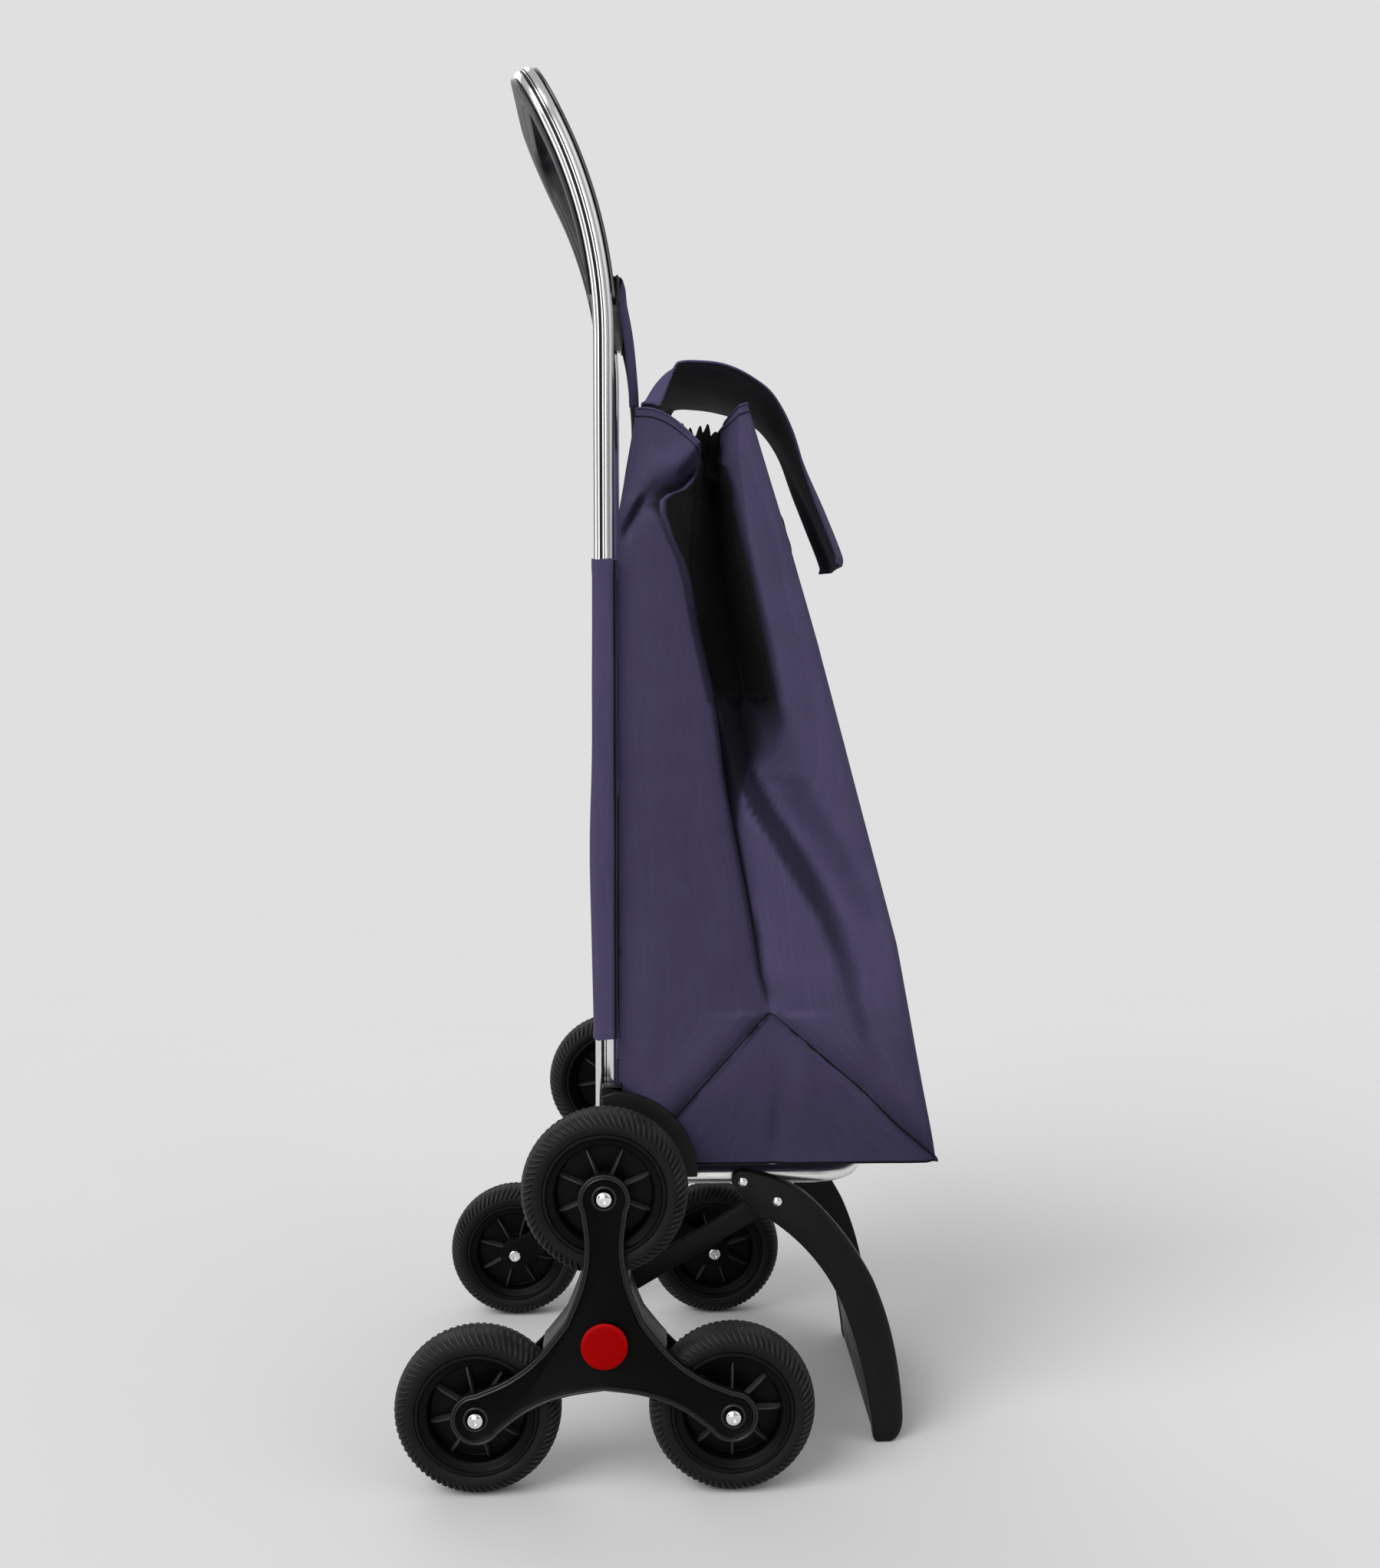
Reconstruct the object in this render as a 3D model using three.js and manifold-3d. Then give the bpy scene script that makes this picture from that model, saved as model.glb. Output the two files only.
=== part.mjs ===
// A stair-climbing shopping trolley: a bag on a tube frame with two three-wheel stars and a front leg.
// Millimetres, +Z up, +X towards the front of the bag, the origin on the floor under the trolley's middle.
import * as THREE from "three";
import { mergeVertices } from "three/addons/utils/BufferGeometryUtils.js";
import Module from "manifold-3d";

const wasm = await Module();
wasm.setup();

// Driving dimensions. X is measured from the axle, Y from the middle of the trolley and Z from the floor.
const GAP = 0.3;
const WHEEL_R = 67.5;
const STAR_R = 118.6;
const AXLE_Z = WHEEL_R + STAR_R / 2;
const WHEEL_REACH = STAR_R * Math.cos(Math.PI / 6) + WHEEL_R;
const BAG_FRONT = 281;
const AXLE_X = (WHEEL_REACH - BAG_FRONT) / 2;

// Places across the trolley, as distances from the middle.
const RAIL_Y = 101;
const STAR_OUT_Y = 202;
const STAR_PLATE = 5;
const TYRE_OUT_Y = 196;
const TYRE_W = 36;
const STAR_IN_Y = 154;
const STAR_IN_PLATE = 5;
const BRACKET_IN_Y = 94;
const BRACKET_OUT_Y = 131;
const STRUT_Y = 93.5;
const STRUT_T = 5;
const LEG_IN_Y = 99.5;
const LEG_OUT_Y = 112;

// Frame tube.
const RAIL_X = -1;
const RAIL_DEPTH = 17;
const RAIL_WIDTH = 26;
const RAIL_CORNER = 6;
const RAIL_WALL = 1.6;
const RAIL_BOTTOM_Z = 242;
const BEND_Z = 936;
const BEND_R = 390;
const BEND_ANGLE = THREE.MathUtils.degToRad(26.5);
const BEND_STEPS = 5;
const HANDLE_CORNER_R = 55;
const GRIP_WALL = 2.6;
const CROSSPIECE_Z = 969;
const CROSSPIECE_H = 20;
const CROSSPIECE_BACK = -8;

// Star.
const LOBE_R = 21;
const NECK_HALF = 16;
const NECK_AT = 78;
const EDGE_R = 36.7;
const BODY_R = 48;
const AXLE_R = 5;
const BUSH_R = 8;
const BOLT_R = 4;
const HUB_CAP_R = 18.7;

// Platform, leg and struts.
const PLATFORM_R = 8;
const PLATFORM_Y = 85;
const PLATFORM_Z = 228;
const PLATFORM_FRONT = 224;
const PLATFORM_CORNER_R = 42;
const HINGE_X = 24;
const RIVET_LEG = new THREE.Vector2(115.3, 229.5);
const RIVET_STRUT = new THREE.Vector2(144.8, 212.2);
const RIVET_R = 2.6;
const CROSSBAR_R = 7;
const CROSSBAR_X = -5;
const CROSSBAR_Z = 217;
const GUARD_R = 71.4;
const GUARD_Z = 241.5;

// Bag.
const BAG_HALF_W = 120;
const BAG_BOTTOM_Z = 247;
const BAG_BACK_X = 10.5;
const BAG_WALL = 2.5;
const FLAP_HALF_W = 103;
const FLAP_T = 2.4;
const FLAP_TAPER_X = 90;
const FLAP_TIP_X = 205;
const FLAP_TIP_SHARE = 0.58;

const BLACK = 0x141416;
const NAVY = 0x3a3550;

const trolley = new THREE.Group();
trolley.position.x = AXLE_X;

// ---------------------------------------------------------------- helpers

function finish(color, roughness, metalness) {
  return new THREE.MeshStandardMaterial({ color, roughness, metalness });
}

const paints = {
  aluminium: () => finish(0xd4d6da, 0.25, 1.0),
  steel: () => finish(0xc8ccd0, 0.2, 1.0),
  plastic: () => finish(BLACK, 0.45, 0.0),
  rubber: () => finish(0x1b1b1c, 0.8, 0.0),
  fabric: () => finish(NAVY, 0.85, 0.0),
  lining: () => finish(0x0c0c0e, 0.9, 0.0),
  red: () => finish(0xb40808, 0.35, 0.0),
};

function add(name, geometry, paint) {
  const mesh = new THREE.Mesh(geometry, paints[paint]());
  mesh.name = name;
  trolley.add(mesh);
  return mesh;
}

function toSolid(geometry) {
  const bare = geometry.clone();
  bare.deleteAttribute("normal");
  bare.deleteAttribute("uv");
  const merged = mergeVertices(bare, 1e-4);
  const vertProperties = new Float32Array(merged.attributes.position.array);
  const triVerts = new Uint32Array(merged.index.array);
  return new wasm.Manifold(new wasm.Mesh({ numProp: 3, vertProperties, triVerts }));
}

function toGeometry(solid) {
  const mesh = solid.getMesh();
  const geometry = new THREE.BufferGeometry();
  geometry.setAttribute("position", new THREE.BufferAttribute(mesh.vertProperties, 3));
  geometry.setIndex(new THREE.BufferAttribute(mesh.triVerts, 1));
  return geometry;
}

function join(...geometries) {
  return toGeometry(geometries.map(toSolid).reduce((whole, piece) => whole.add(piece)));
}

function cut(geometry, ...tools) {
  return toGeometry(tools.map(toSolid).reduce((whole, tool) => whole.subtract(tool), toSolid(geometry)));
}

// A side-view outline, x and z, given thickness from y0 to y1.
function slab(shape, y0, y1) {
  const options = { depth: y1 - y0, bevelEnabled: false, curveSegments: 6 };
  const geometry = new THREE.ExtrudeGeometry(shape, options);
  geometry.rotateX(Math.PI / 2);
  geometry.translate(0, y1, 0);
  return geometry;
}

function outline(points) {
  return new THREE.Shape(points.map(([x, z]) => new THREE.Vector2(x, z)));
}

function block(x0, x1, y0, y1, z0, z1) {
  const geometry = new THREE.BoxGeometry(x1 - x0, y1 - y0, z1 - z0);
  geometry.translate((x0 + x1) / 2, (y0 + y1) / 2, (z0 + z1) / 2);
  return geometry;
}

// A round bar across the trolley at x and z.
function pin(x, z, r, y0, y1, sides = 16) {
  const geometry = new THREE.CylinderGeometry(r, r, y1 - y0, sides);
  geometry.translate(x, (y0 + y1) / 2, z);
  return geometry;
}

// A ring or bored disc turned about a line across the trolley; the profile is radius against y.
function turned(profile, x, z, sides) {
  const geometry = new THREE.LatheGeometry(profile.map(([r, y]) => new THREE.Vector2(r, y)), sides);
  geometry.translate(x, 0, z);
  return geometry;
}

function washer(x, z, inner, outer, y0, y1, sides = 16) {
  return turned([[inner, y0], [outer, y0], [outer, y1], [inner, y1], [inner, y0]], x, z, sides);
}

// Mirrors a right-hand piece, at negative y, to the left-hand side.
function mirrored(geometry) {
  const copy = geometry.clone();
  copy.scale(1, -1, 1);
  if (!copy.index) {
    copy.setIndex([...Array(copy.attributes.position.count).keys()]);
  }
  const index = copy.index.array;
  for (let i = 0; i < index.length; i += 3) {
    [index[i], index[i + 1]] = [index[i + 1], index[i]];
  }
  return copy;
}

function pair(name, rightHandGeometry, paint) {
  add(`${name}_right`, rightHandGeometry, paint);
  add(`${name}_left`, mirrored(rightHandGeometry), paint);
}

// A path through given stations, one section at each.
class StationPath extends THREE.Curve {
  constructor(stations) {
    super();
    this.stations = stations;
  }
  getPointAt(u) {
    return this.stations[Math.round(u * (this.stations.length - 1))].clone();
  }
  getTangentAt(u) {
    const i = Math.round(u * (this.stations.length - 1));
    const last = this.stations.length - 1;
    const before = this.stations[Math.max(i - 1, 0)];
    const after = this.stations[Math.min(i + 1, last)];
    const into = this.stations[i].clone().sub(before).normalize();
    const out = after.clone().sub(this.stations[i]).normalize();
    return into.add(out).normalize();
  }
}

function swept(section, stations) {
  const options = { steps: stations.length - 1, extrudePath: new StationPath(stations), curveSegments: 1 };
  return new THREE.ExtrudeGeometry(section, options);
}

function roundedRect(width, height, corner) {
  const w = width / 2;
  const h = height / 2;
  const shape = new THREE.Shape();
  shape.moveTo(w - corner, -h);
  shape.absarc(w - corner, corner - h, corner, -Math.PI / 2, 0);
  shape.absarc(w - corner, h - corner, corner, 0, Math.PI / 2);
  shape.absarc(corner - w, h - corner, corner, Math.PI / 2, Math.PI);
  shape.absarc(corner - w, corner - h, corner, Math.PI, Math.PI * 1.5);
  return shape;
}

// ---------------------------------------------------------------- frame

// One side of the frame tube's centreline, from its foot up to the start of the handle's crossbar.
function railStations() {
  const points = [new THREE.Vector3(RAIL_X, -RAIL_Y, RAIL_BOTTOM_Z)];
  for (let i = 0; i <= BEND_STEPS; i += 1) {
    const angle = (BEND_ANGLE * i) / BEND_STEPS;
    const back = BEND_R * (1 - Math.cos(angle));
    points.push(new THREE.Vector3(RAIL_X - back, -RAIL_Y, BEND_Z + BEND_R * Math.sin(angle)));
  }
  const slope = new THREE.Vector3(-Math.sin(BEND_ANGLE), 0, Math.cos(BEND_ANGLE));
  const corner = points[points.length - 1];
  for (let i = 1; i <= BEND_STEPS; i += 1) {
    const angle = (Math.PI / 2) * (i / BEND_STEPS);
    const along = HANDLE_CORNER_R * Math.sin(angle);
    const across = HANDLE_CORNER_R * (1 - Math.cos(angle));
    points.push(corner.clone().addScaledVector(slope, along).add(new THREE.Vector3(0, across, 0)));
  }
  return points;
}

// The whole U, less the given number of stations at each end.
function handleStations(skipped) {
  const right = railStations().slice(skipped);
  const left = right.map((p) => new THREE.Vector3(p.x, -p.y, p.z)).reverse();
  return [...right, ...left];
}

function makeFrameTube() {
  const section = roundedRect(RAIL_WIDTH, RAIL_DEPTH, RAIL_CORNER);
  const boreWidth = RAIL_WIDTH - 2 * RAIL_WALL;
  const boreDepth = RAIL_DEPTH - 2 * RAIL_WALL;
  section.holes.push(roundedRect(boreWidth, boreDepth, RAIL_CORNER - RAIL_WALL));
  return swept(section, handleStations(0));
}

// A channel round the tube's front, inner and rear faces; the section's +x is the handle's outside.
function makeHandleGrip() {
  const tubeX = RAIL_WIDTH / 2 + GAP;
  const tubeY = RAIL_DEPTH / 2 + GAP;
  const wall = GRIP_WALL;
  const lip = 9;
  const round = 5;
  const section = new THREE.Shape();
  section.moveTo(lip, -tubeY);
  section.lineTo(-tubeX, -tubeY);
  section.lineTo(-tubeX, tubeY);
  section.lineTo(lip, tubeY);
  section.lineTo(lip, tubeY + wall);
  section.lineTo(round - tubeX - wall, tubeY + wall);
  section.lineTo(-tubeX - wall, tubeY + wall - round);
  section.lineTo(-tubeX - wall, round - tubeY - wall);
  section.lineTo(round - tubeX - wall, -tubeY - wall);
  section.lineTo(lip, -tubeY - wall);
  section.closePath();
  return swept(section, handleStations(2));
}

// A bridge between the lower ends of the grip, with a bowed front plate that laps over them.
function makeUpperCrosspiece() {
  const plate = 9.3;
  const inner = RAIL_Y - RAIL_WIDTH / 2 - GRIP_WALL - 2 * GAP;
  const edge = RAIL_Y + 3;
  const body = [[CROSSPIECE_BACK, inner], [plate, inner]];
  const front = [[plate, edge], [plate + 2, edge], [plate + 3.5, 70], [plate + 4, 30]];
  const half = [...body, ...front];
  const plan = [...half, ...half.map(([x, y]) => [x, -y]).reverse()];
  const geometry = new THREE.ExtrudeGeometry(outline(plan), { depth: CROSSPIECE_H, bevelEnabled: false });
  geometry.translate(0, 0, CROSSPIECE_Z);
  return geometry;
}

add("frame_tube", makeFrameTube(), "aluminium");
add("handle_grip", makeHandleGrip(), "plastic");
add("upper_crosspiece", makeUpperCrosspiece(), "plastic");

// Screws through the back of the crosspiece.
function makeCrosspieceScrew() {
  const head = new THREE.LatheGeometry(
    [[0, 0], [4, 0], [4, 1.4], [2.4, 2.6], [0, 2.6]].map(([r, z]) => new THREE.Vector2(r, z)),
    12,
  );
  head.rotateZ(Math.PI / 2);
  head.translate(CROSSPIECE_BACK - GAP, -72, CROSSPIECE_Z + CROSSPIECE_H / 2);
  return head;
}
pair("crosspiece_screw", makeCrosspieceScrew(), "steel");

// ---------------------------------------------------------------- lower bracket

// The socket for the rail, the wheel guard beside it and the stem down to the axle, as one moulding.
function makeLowerBracket() {
  const railIn = RAIL_Y - RAIL_WIDTH / 2 - GAP;
  const railOut = RAIL_Y + RAIL_WIDTH / 2 + GAP;
  const railFront = RAIL_X + RAIL_DEPTH / 2 + GAP;
  const railBack = RAIL_X - RAIL_DEPTH / 2 - GAP;
  const foot = block(-16.5, 6, -BRACKET_OUT_Y + 6, -BRACKET_IN_Y, 204, RAIL_BOTTOM_Z - 2);
  const socket = block(railBack - 3, railFront + 2.2, -railOut - 4, -railIn + 3, RAIL_BOTTOM_Z - 4, 286);
  const bore = block(railBack, railFront, -railOut, -railIn, RAIL_BOTTOM_Z - GAP, 300);
  const crossHole = pin(CROSSBAR_X, CROSSBAR_Z, CROSSBAR_R + GAP, -113, -80);
  const bossSide = outline([[-4, 232], [13, 232], [13, 317], [-4, 317]]);
  const boss = slab(bossSide, -BRACKET_OUT_Y + 1, -railOut - 0.5);
  const guard = new THREE.Shape();
  guard.moveTo(-4, 240);
  guard.lineTo(-4, 311);
  guard.absarc(4.7, GUARD_Z, GUARD_R, THREE.MathUtils.degToRad(80), 0, true);
  guard.lineTo(GUARD_R + 4, 240);
  const stem = new THREE.Shape();
  stem.moveTo(-15, 245);
  stem.lineTo(-15, AXLE_Z);
  stem.absarc(0, AXLE_Z, 15, Math.PI, Math.PI * 2);
  stem.lineTo(15, 245);
  const body = join(
    foot,
    socket,
    boss,
    slab(guard, -BRACKET_OUT_Y - 1, -BRACKET_OUT_Y + 6),
    slab(stem, -BRACKET_OUT_Y, -BRACKET_OUT_Y + 11),
  );
  return cut(body, bore, crossHole, pin(0, AXLE_Z, AXLE_R + GAP, -140, -110, 20));
}
pair("lower_bracket", makeLowerBracket(), "plastic");

// ---------------------------------------------------------------- axle and stars

add("axle", pin(0, AXLE_Z, AXLE_R, -197, 197, 20), "steel");

const SPACER = washer(0, AXLE_Z, AXLE_R + GAP, 10, -150, -BRACKET_OUT_Y - GAP);
pair("axle_spacer", SPACER, "plastic");

// Strut eyes are kept in place by a collar on their inner side.
pair("axle_collar", washer(0, AXLE_Z, AXLE_R + GAP, 10, -STRUT_Y + GAP, -STRUT_Y + 8), "plastic");

// Three arms with round ends, joined by hollow edges.
const CENTRE = new THREE.Vector2();
function starOutline(lobe, neck, edge) {
  const shape = new THREE.Shape();
  for (let arm = 0; arm < 3; arm += 1) {
    const turn = Math.PI / 2 + (arm * 2 * Math.PI) / 3;
    const place = (along, across) => new THREE.Vector2(along, across).rotateAround(CENTRE, turn);
    const start = place(NECK_AT, -neck);
    if (arm === 0) {
      shape.moveTo(start.x, start.y);
    } else {
      shape.lineTo(start.x, start.y);
    }
    for (let i = 0; i <= 7; i += 1) {
      const angle = -Math.PI * 0.62 + (Math.PI * 1.24 * i) / 7;
      const tip = place(STAR_R - 1 + lobe * Math.cos(angle), lobe * Math.sin(angle));
      shape.lineTo(tip.x, tip.y);
    }
    const end = place(NECK_AT, neck);
    shape.lineTo(end.x, end.y);
    for (const [turnBy, reach] of [[0.62, 1.2], [Math.PI / 3, 1], [(2 * Math.PI) / 3 - 0.62, 1.2]]) {
      const angle = turn + turnBy;
      shape.lineTo(edge * reach * Math.cos(angle), edge * reach * Math.sin(angle));
    }
  }
  shape.closePath();
  return shape;
}

function armCentre(arm) {
  const turn = Math.PI / 2 + (arm * 2 * Math.PI) / 3;
  return [STAR_R * Math.cos(turn), AXLE_Z + STAR_R * Math.sin(turn)];
}

function raised(geometry) {
  geometry.translate(0, 0, AXLE_Z);
  return geometry;
}

// The outer plate with its hollowed body, bored for the axle bush and the three wheel bolts.
function makeStarOuter() {
  const plate = raised(slab(starOutline(LOBE_R, NECK_HALF, EDGE_R), -STAR_OUT_Y, -STAR_OUT_Y + STAR_PLATE));
  const inner = -STAR_IN_Y - STAR_IN_PLATE - GAP;
  const body = raised(slab(starOutline(LOBE_R, NECK_HALF - 2, EDGE_R - 0.5), -STAR_OUT_Y + 1, inner));
  const limit = pin(0, AXLE_Z, BODY_R, -STAR_OUT_Y, inner + 1, 24);
  const core = toSolid(body).intersect(toSolid(limit));
  let solid = toSolid(plate).add(core);
  solid = solid.subtract(toSolid(pin(0, AXLE_Z, BUSH_R + GAP, -STAR_OUT_Y + STAR_PLATE - 1, inner + 5, 20)));
  solid = solid.subtract(toSolid(pin(0, AXLE_Z, AXLE_R + 1, -STAR_OUT_Y - 1, inner + 5, 20)));
  for (let arm = 0; arm < 3; arm += 1) {
    const [x, z] = armCentre(arm);
    solid = solid.subtract(toSolid(pin(x, z, BOLT_R + GAP, -STAR_OUT_Y - 1, -STAR_OUT_Y + 10, 12)));
  }
  return toGeometry(solid);
}

function makeStarInner() {
  const y0 = -STAR_IN_Y - STAR_IN_PLATE;
  let solid = toSolid(raised(slab(starOutline(16, 13, 26), y0, -STAR_IN_Y)));
  solid = solid.subtract(toSolid(pin(0, AXLE_Z, BUSH_R + GAP, y0 - 1, -STAR_IN_Y + 1, 20)));
  for (let arm = 0; arm < 3; arm += 1) {
    const [x, z] = armCentre(arm);
    solid = solid.subtract(toSolid(pin(x, z, BOLT_R + GAP, y0 - 1, -STAR_IN_Y + 1, 12)));
  }
  return toGeometry(solid);
}

const bushIn = -STAR_IN_Y + 2;
const bushOut = -STAR_OUT_Y + STAR_PLATE - 1 + GAP;
pair("star_outer", makeStarOuter(), "plastic");
pair("star_inner", makeStarInner(), "plastic");
pair("star_bush", washer(0, AXLE_Z, AXLE_R + GAP, BUSH_R, bushOut, bushIn), "plastic");

// The cap hides the end of the axle and clips over the middle of the star.
function makeHubCap() {
  const back = -STAR_OUT_Y - GAP;
  const face = back - 2.2;
  const edge = HUB_CAP_R;
  const profile = [[0, face], [edge - 0.8, face], [edge, face + 0.8], [edge, back], [0, back]];
  return turned(profile, 0, AXLE_Z, 28);
}
pair("hub_cap", makeHubCap(), "red");

// ---------------------------------------------------------------- wheels

const WHEEL_SIDES = 20;
const TYRE_IN_R = 50;
const TYRE_IN_Y = TYRE_OUT_Y - TYRE_W;

function makeTyre(x, z) {
  const shoulder = WHEEL_R - 8;
  const profile = [
    [TYRE_IN_R, -TYRE_OUT_Y + 1],
    [shoulder, -TYRE_OUT_Y],
    [WHEEL_R - 1.5, -TYRE_OUT_Y + 6],
    [WHEEL_R, -TYRE_OUT_Y + 14],
    [WHEEL_R, -TYRE_IN_Y - 14],
    [WHEEL_R - 1.5, -TYRE_IN_Y - 6],
    [shoulder, -TYRE_IN_Y],
    [TYRE_IN_R, -TYRE_IN_Y - 1],
    [TYRE_IN_R, -TYRE_OUT_Y + 1],
  ];
  return turned(profile, x, z, WHEEL_SIDES);
}

// A rim on a thin web round a bored hub, dished on both faces.
function makeWheelHub(x, z) {
  const rim = TYRE_IN_R - GAP;
  const middle = -TYRE_OUT_Y + TYRE_W / 2;
  const out = -TYRE_OUT_Y + 3;
  const inside = -TYRE_IN_Y - 3;
  const bore = BOLT_R + GAP;
  const bossOut = -STAR_OUT_Y + STAR_PLATE + GAP;
  const bossIn = -STAR_IN_Y - STAR_IN_PLATE - GAP;
  const profile = [
    [bore, bossOut],
    [10, bossOut],
    [13, middle - 2],
    [39, middle - 2],
    [42, out],
    [rim, out],
    [rim, inside],
    [42, inside],
    [39, middle + 2],
    [13, middle + 2],
    [10, bossIn],
    [bore, bossIn],
    [bore, bossOut],
  ];
  return turned(profile, x, z, WHEEL_SIDES);
}

// A domed bolt from the outer plate through the wheel to its sleeve nut behind the inner plate.
function makeWheelBolt(x, z) {
  const seat = -STAR_OUT_Y - GAP;
  const end = -STAR_IN_Y + 3;
  const nutFace = -STAR_IN_Y + GAP;
  const profile = [
    [0, seat - 2.7],
    [3.6, seat - 2.3],
    [6.3, seat],
    [BOLT_R, seat],
    [BOLT_R, nutFace],
    [5.6, nutFace],
    [5.6, end - 0.6],
    [0, end],
  ];
  return turned(profile, x, z, 12);
}

const ARM_NAMES = ["top", "rear", "front"];
for (let arm = 0; arm < 3; arm += 1) {
  const [x, z] = armCentre(arm);
  pair(`wheel_hub_${ARM_NAMES[arm]}`, makeWheelHub(x, z), "plastic");
  pair(`tyre_${ARM_NAMES[arm]}`, makeTyre(x, z), "rubber");
  pair(`wheel_bolt_${ARM_NAMES[arm]}`, makeWheelBolt(x, z), "steel");
}

// ---------------------------------------------------------------- platform and its hinge

add("lower_crossbar", pin(CROSSBAR_X, CROSSBAR_Z, CROSSBAR_R, -112, 112, 16), "aluminium");

function makePlatformHinge() {
  const ear = new THREE.Shape();
  ear.moveTo(CROSSBAR_X, CROSSBAR_Z - 11);
  ear.lineTo(HINGE_X + 2, PLATFORM_Z - 10);
  ear.absarc(HINGE_X, PLATFORM_Z, 10, -Math.PI / 2 + 0.2, Math.PI / 2);
  ear.lineTo(CROSSBAR_X, CROSSBAR_Z + 11);
  ear.absarc(CROSSBAR_X, CROSSBAR_Z, 11, Math.PI / 2, Math.PI * 1.5);
  const holes = [
    pin(CROSSBAR_X, CROSSBAR_Z, CROSSBAR_R + GAP, -80, -60),
    pin(HINGE_X, PLATFORM_Z, 3.5 + GAP, -80, -60, 12),
  ];
  return cut(slab(ear, -76, -68), ...holes);
}
pair("platform_hinge", makePlatformHinge(), "plastic");

function makeHingePin() {
  const profile = [[0, -93.2], [3.5, -93.2], [3.5, -67], [6, -67], [6, -65.5], [0, -64.5]];
  return turned(profile, HINGE_X, PLATFORM_Z, 12);
}
pair("hinge_pin", makeHingePin(), "steel");

// The tube loop that carries the bag; its two ends turn on the hinge pins.
function makePlatformLoop() {
  const rear = HINGE_X - 10;
  const cornerX = PLATFORM_FRONT - PLATFORM_R - PLATFORM_CORNER_R;
  const cornerY = PLATFORM_Y - PLATFORM_CORNER_R;
  const right = [new THREE.Vector3(rear, -PLATFORM_Y, PLATFORM_Z)];
  for (let i = 0; i <= BEND_STEPS; i += 1) {
    const angle = (Math.PI / 2) * (i / BEND_STEPS);
    const x = cornerX + PLATFORM_CORNER_R * Math.sin(angle);
    right.push(new THREE.Vector3(x, -cornerY - PLATFORM_CORNER_R * Math.cos(angle), PLATFORM_Z));
  }
  const left = right.map((p) => new THREE.Vector3(p.x, -p.y, p.z)).reverse();
  const section = new THREE.Shape();
  section.absarc(0, 0, PLATFORM_R, 0, Math.PI * 2);
  const hollow = new THREE.Path();
  hollow.absarc(0, 0, PLATFORM_R - RAIL_WALL, 0, Math.PI * 2, true);
  section.holes.push(hollow);
  const path = new StationPath([...right, ...left]);
  const options = { steps: path.stations.length - 1, extrudePath: path, curveSegments: 5 };
  const tube = new THREE.ExtrudeGeometry(section, options);
  const bores = [-1, 1].flatMap((side) => [
    pin(HINGE_X, PLATFORM_Z, 3.5 + GAP, side * PLATFORM_Y - 9, side * PLATFORM_Y + 9, 12),
    pin(RIVET_LEG.x, RIVET_LEG.y, RIVET_R + GAP, side * PLATFORM_Y - 9, side * PLATFORM_Y + 9, 12),
  ]);
  return cut(tube, ...bores);
}
add("platform_loop", makePlatformLoop(), "aluminium");

// ---------------------------------------------------------------- front leg and struts

// The leg's side: a plate round both rivets that runs into a curved blade down to the foot.
function legOutline() {
  const shape = new THREE.Shape();
  shape.moveTo(112, 219);
  shape.absarc(RIVET_LEG.x, RIVET_LEG.y, 9.5, Math.PI * 1.2, Math.PI * 0.42, true);
  shape.quadraticCurveTo(152, 231, 170, 217);
  shape.quadraticCurveTo(205, 186, 228, 141);
  shape.quadraticCurveTo(250, 92, 254, 24);
  shape.quadraticCurveTo(255, 0, 240, 0);
  shape.lineTo(232, 0);
  shape.quadraticCurveTo(228, 0, 228, 8);
  shape.quadraticCurveTo(221, 70, 201, 121);
  shape.quadraticCurveTo(180, 168, 138, 196);
  shape.lineTo(128, 201);
  shape.closePath();
  return shape;
}

// The lower part of the same blade, as a panel that joins the two sides at their rear edges.
function legPanelOutline() {
  const shape = new THREE.Shape();
  shape.moveTo(207, 105);
  shape.quadraticCurveTo(223, 60, 228, 8);
  shape.quadraticCurveTo(228, 0, 232, 0);
  shape.lineTo(242, 0);
  shape.lineTo(242, 12);
  shape.lineTo(236, 14);
  shape.quadraticCurveTo(231, 66, 214, 108);
  shape.closePath();
  return shape;
}

function makeFrontLeg() {
  const solid = join(
    slab(legOutline(), -LEG_OUT_Y, -LEG_IN_Y),
    slab(legOutline(), LEG_IN_Y, LEG_OUT_Y),
    slab(legPanelOutline(), -LEG_IN_Y - 2, LEG_IN_Y + 2),
  );
  const bores = [-1, 1].flatMap((side) =>
    [RIVET_LEG, RIVET_STRUT].map((rivet) =>
      pin(rivet.x, rivet.y, RIVET_R + GAP, side * 106 - 10, side * 106 + 10, 12),
    ),
  );
  return cut(solid, ...bores);
}
add("front_leg", makeFrontLeg(), "plastic");

// A rivet with a domed outer head; its shank ends at y1.
function rivet(place, y1) {
  const seat = -LEG_OUT_Y - GAP;
  const profile = [[0, seat - 2.2], [2.6, seat - 1.8], [4.2, seat], [RIVET_R, seat], [RIVET_R, y1], [0, y1]];
  return turned(profile, place.x, place.y, 12);
}
pair("leg_rivet", rivet(RIVET_LEG, -78), "steel");
pair("strut_rivet", rivet(RIVET_STRUT, -LEG_IN_Y), "steel");

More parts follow.
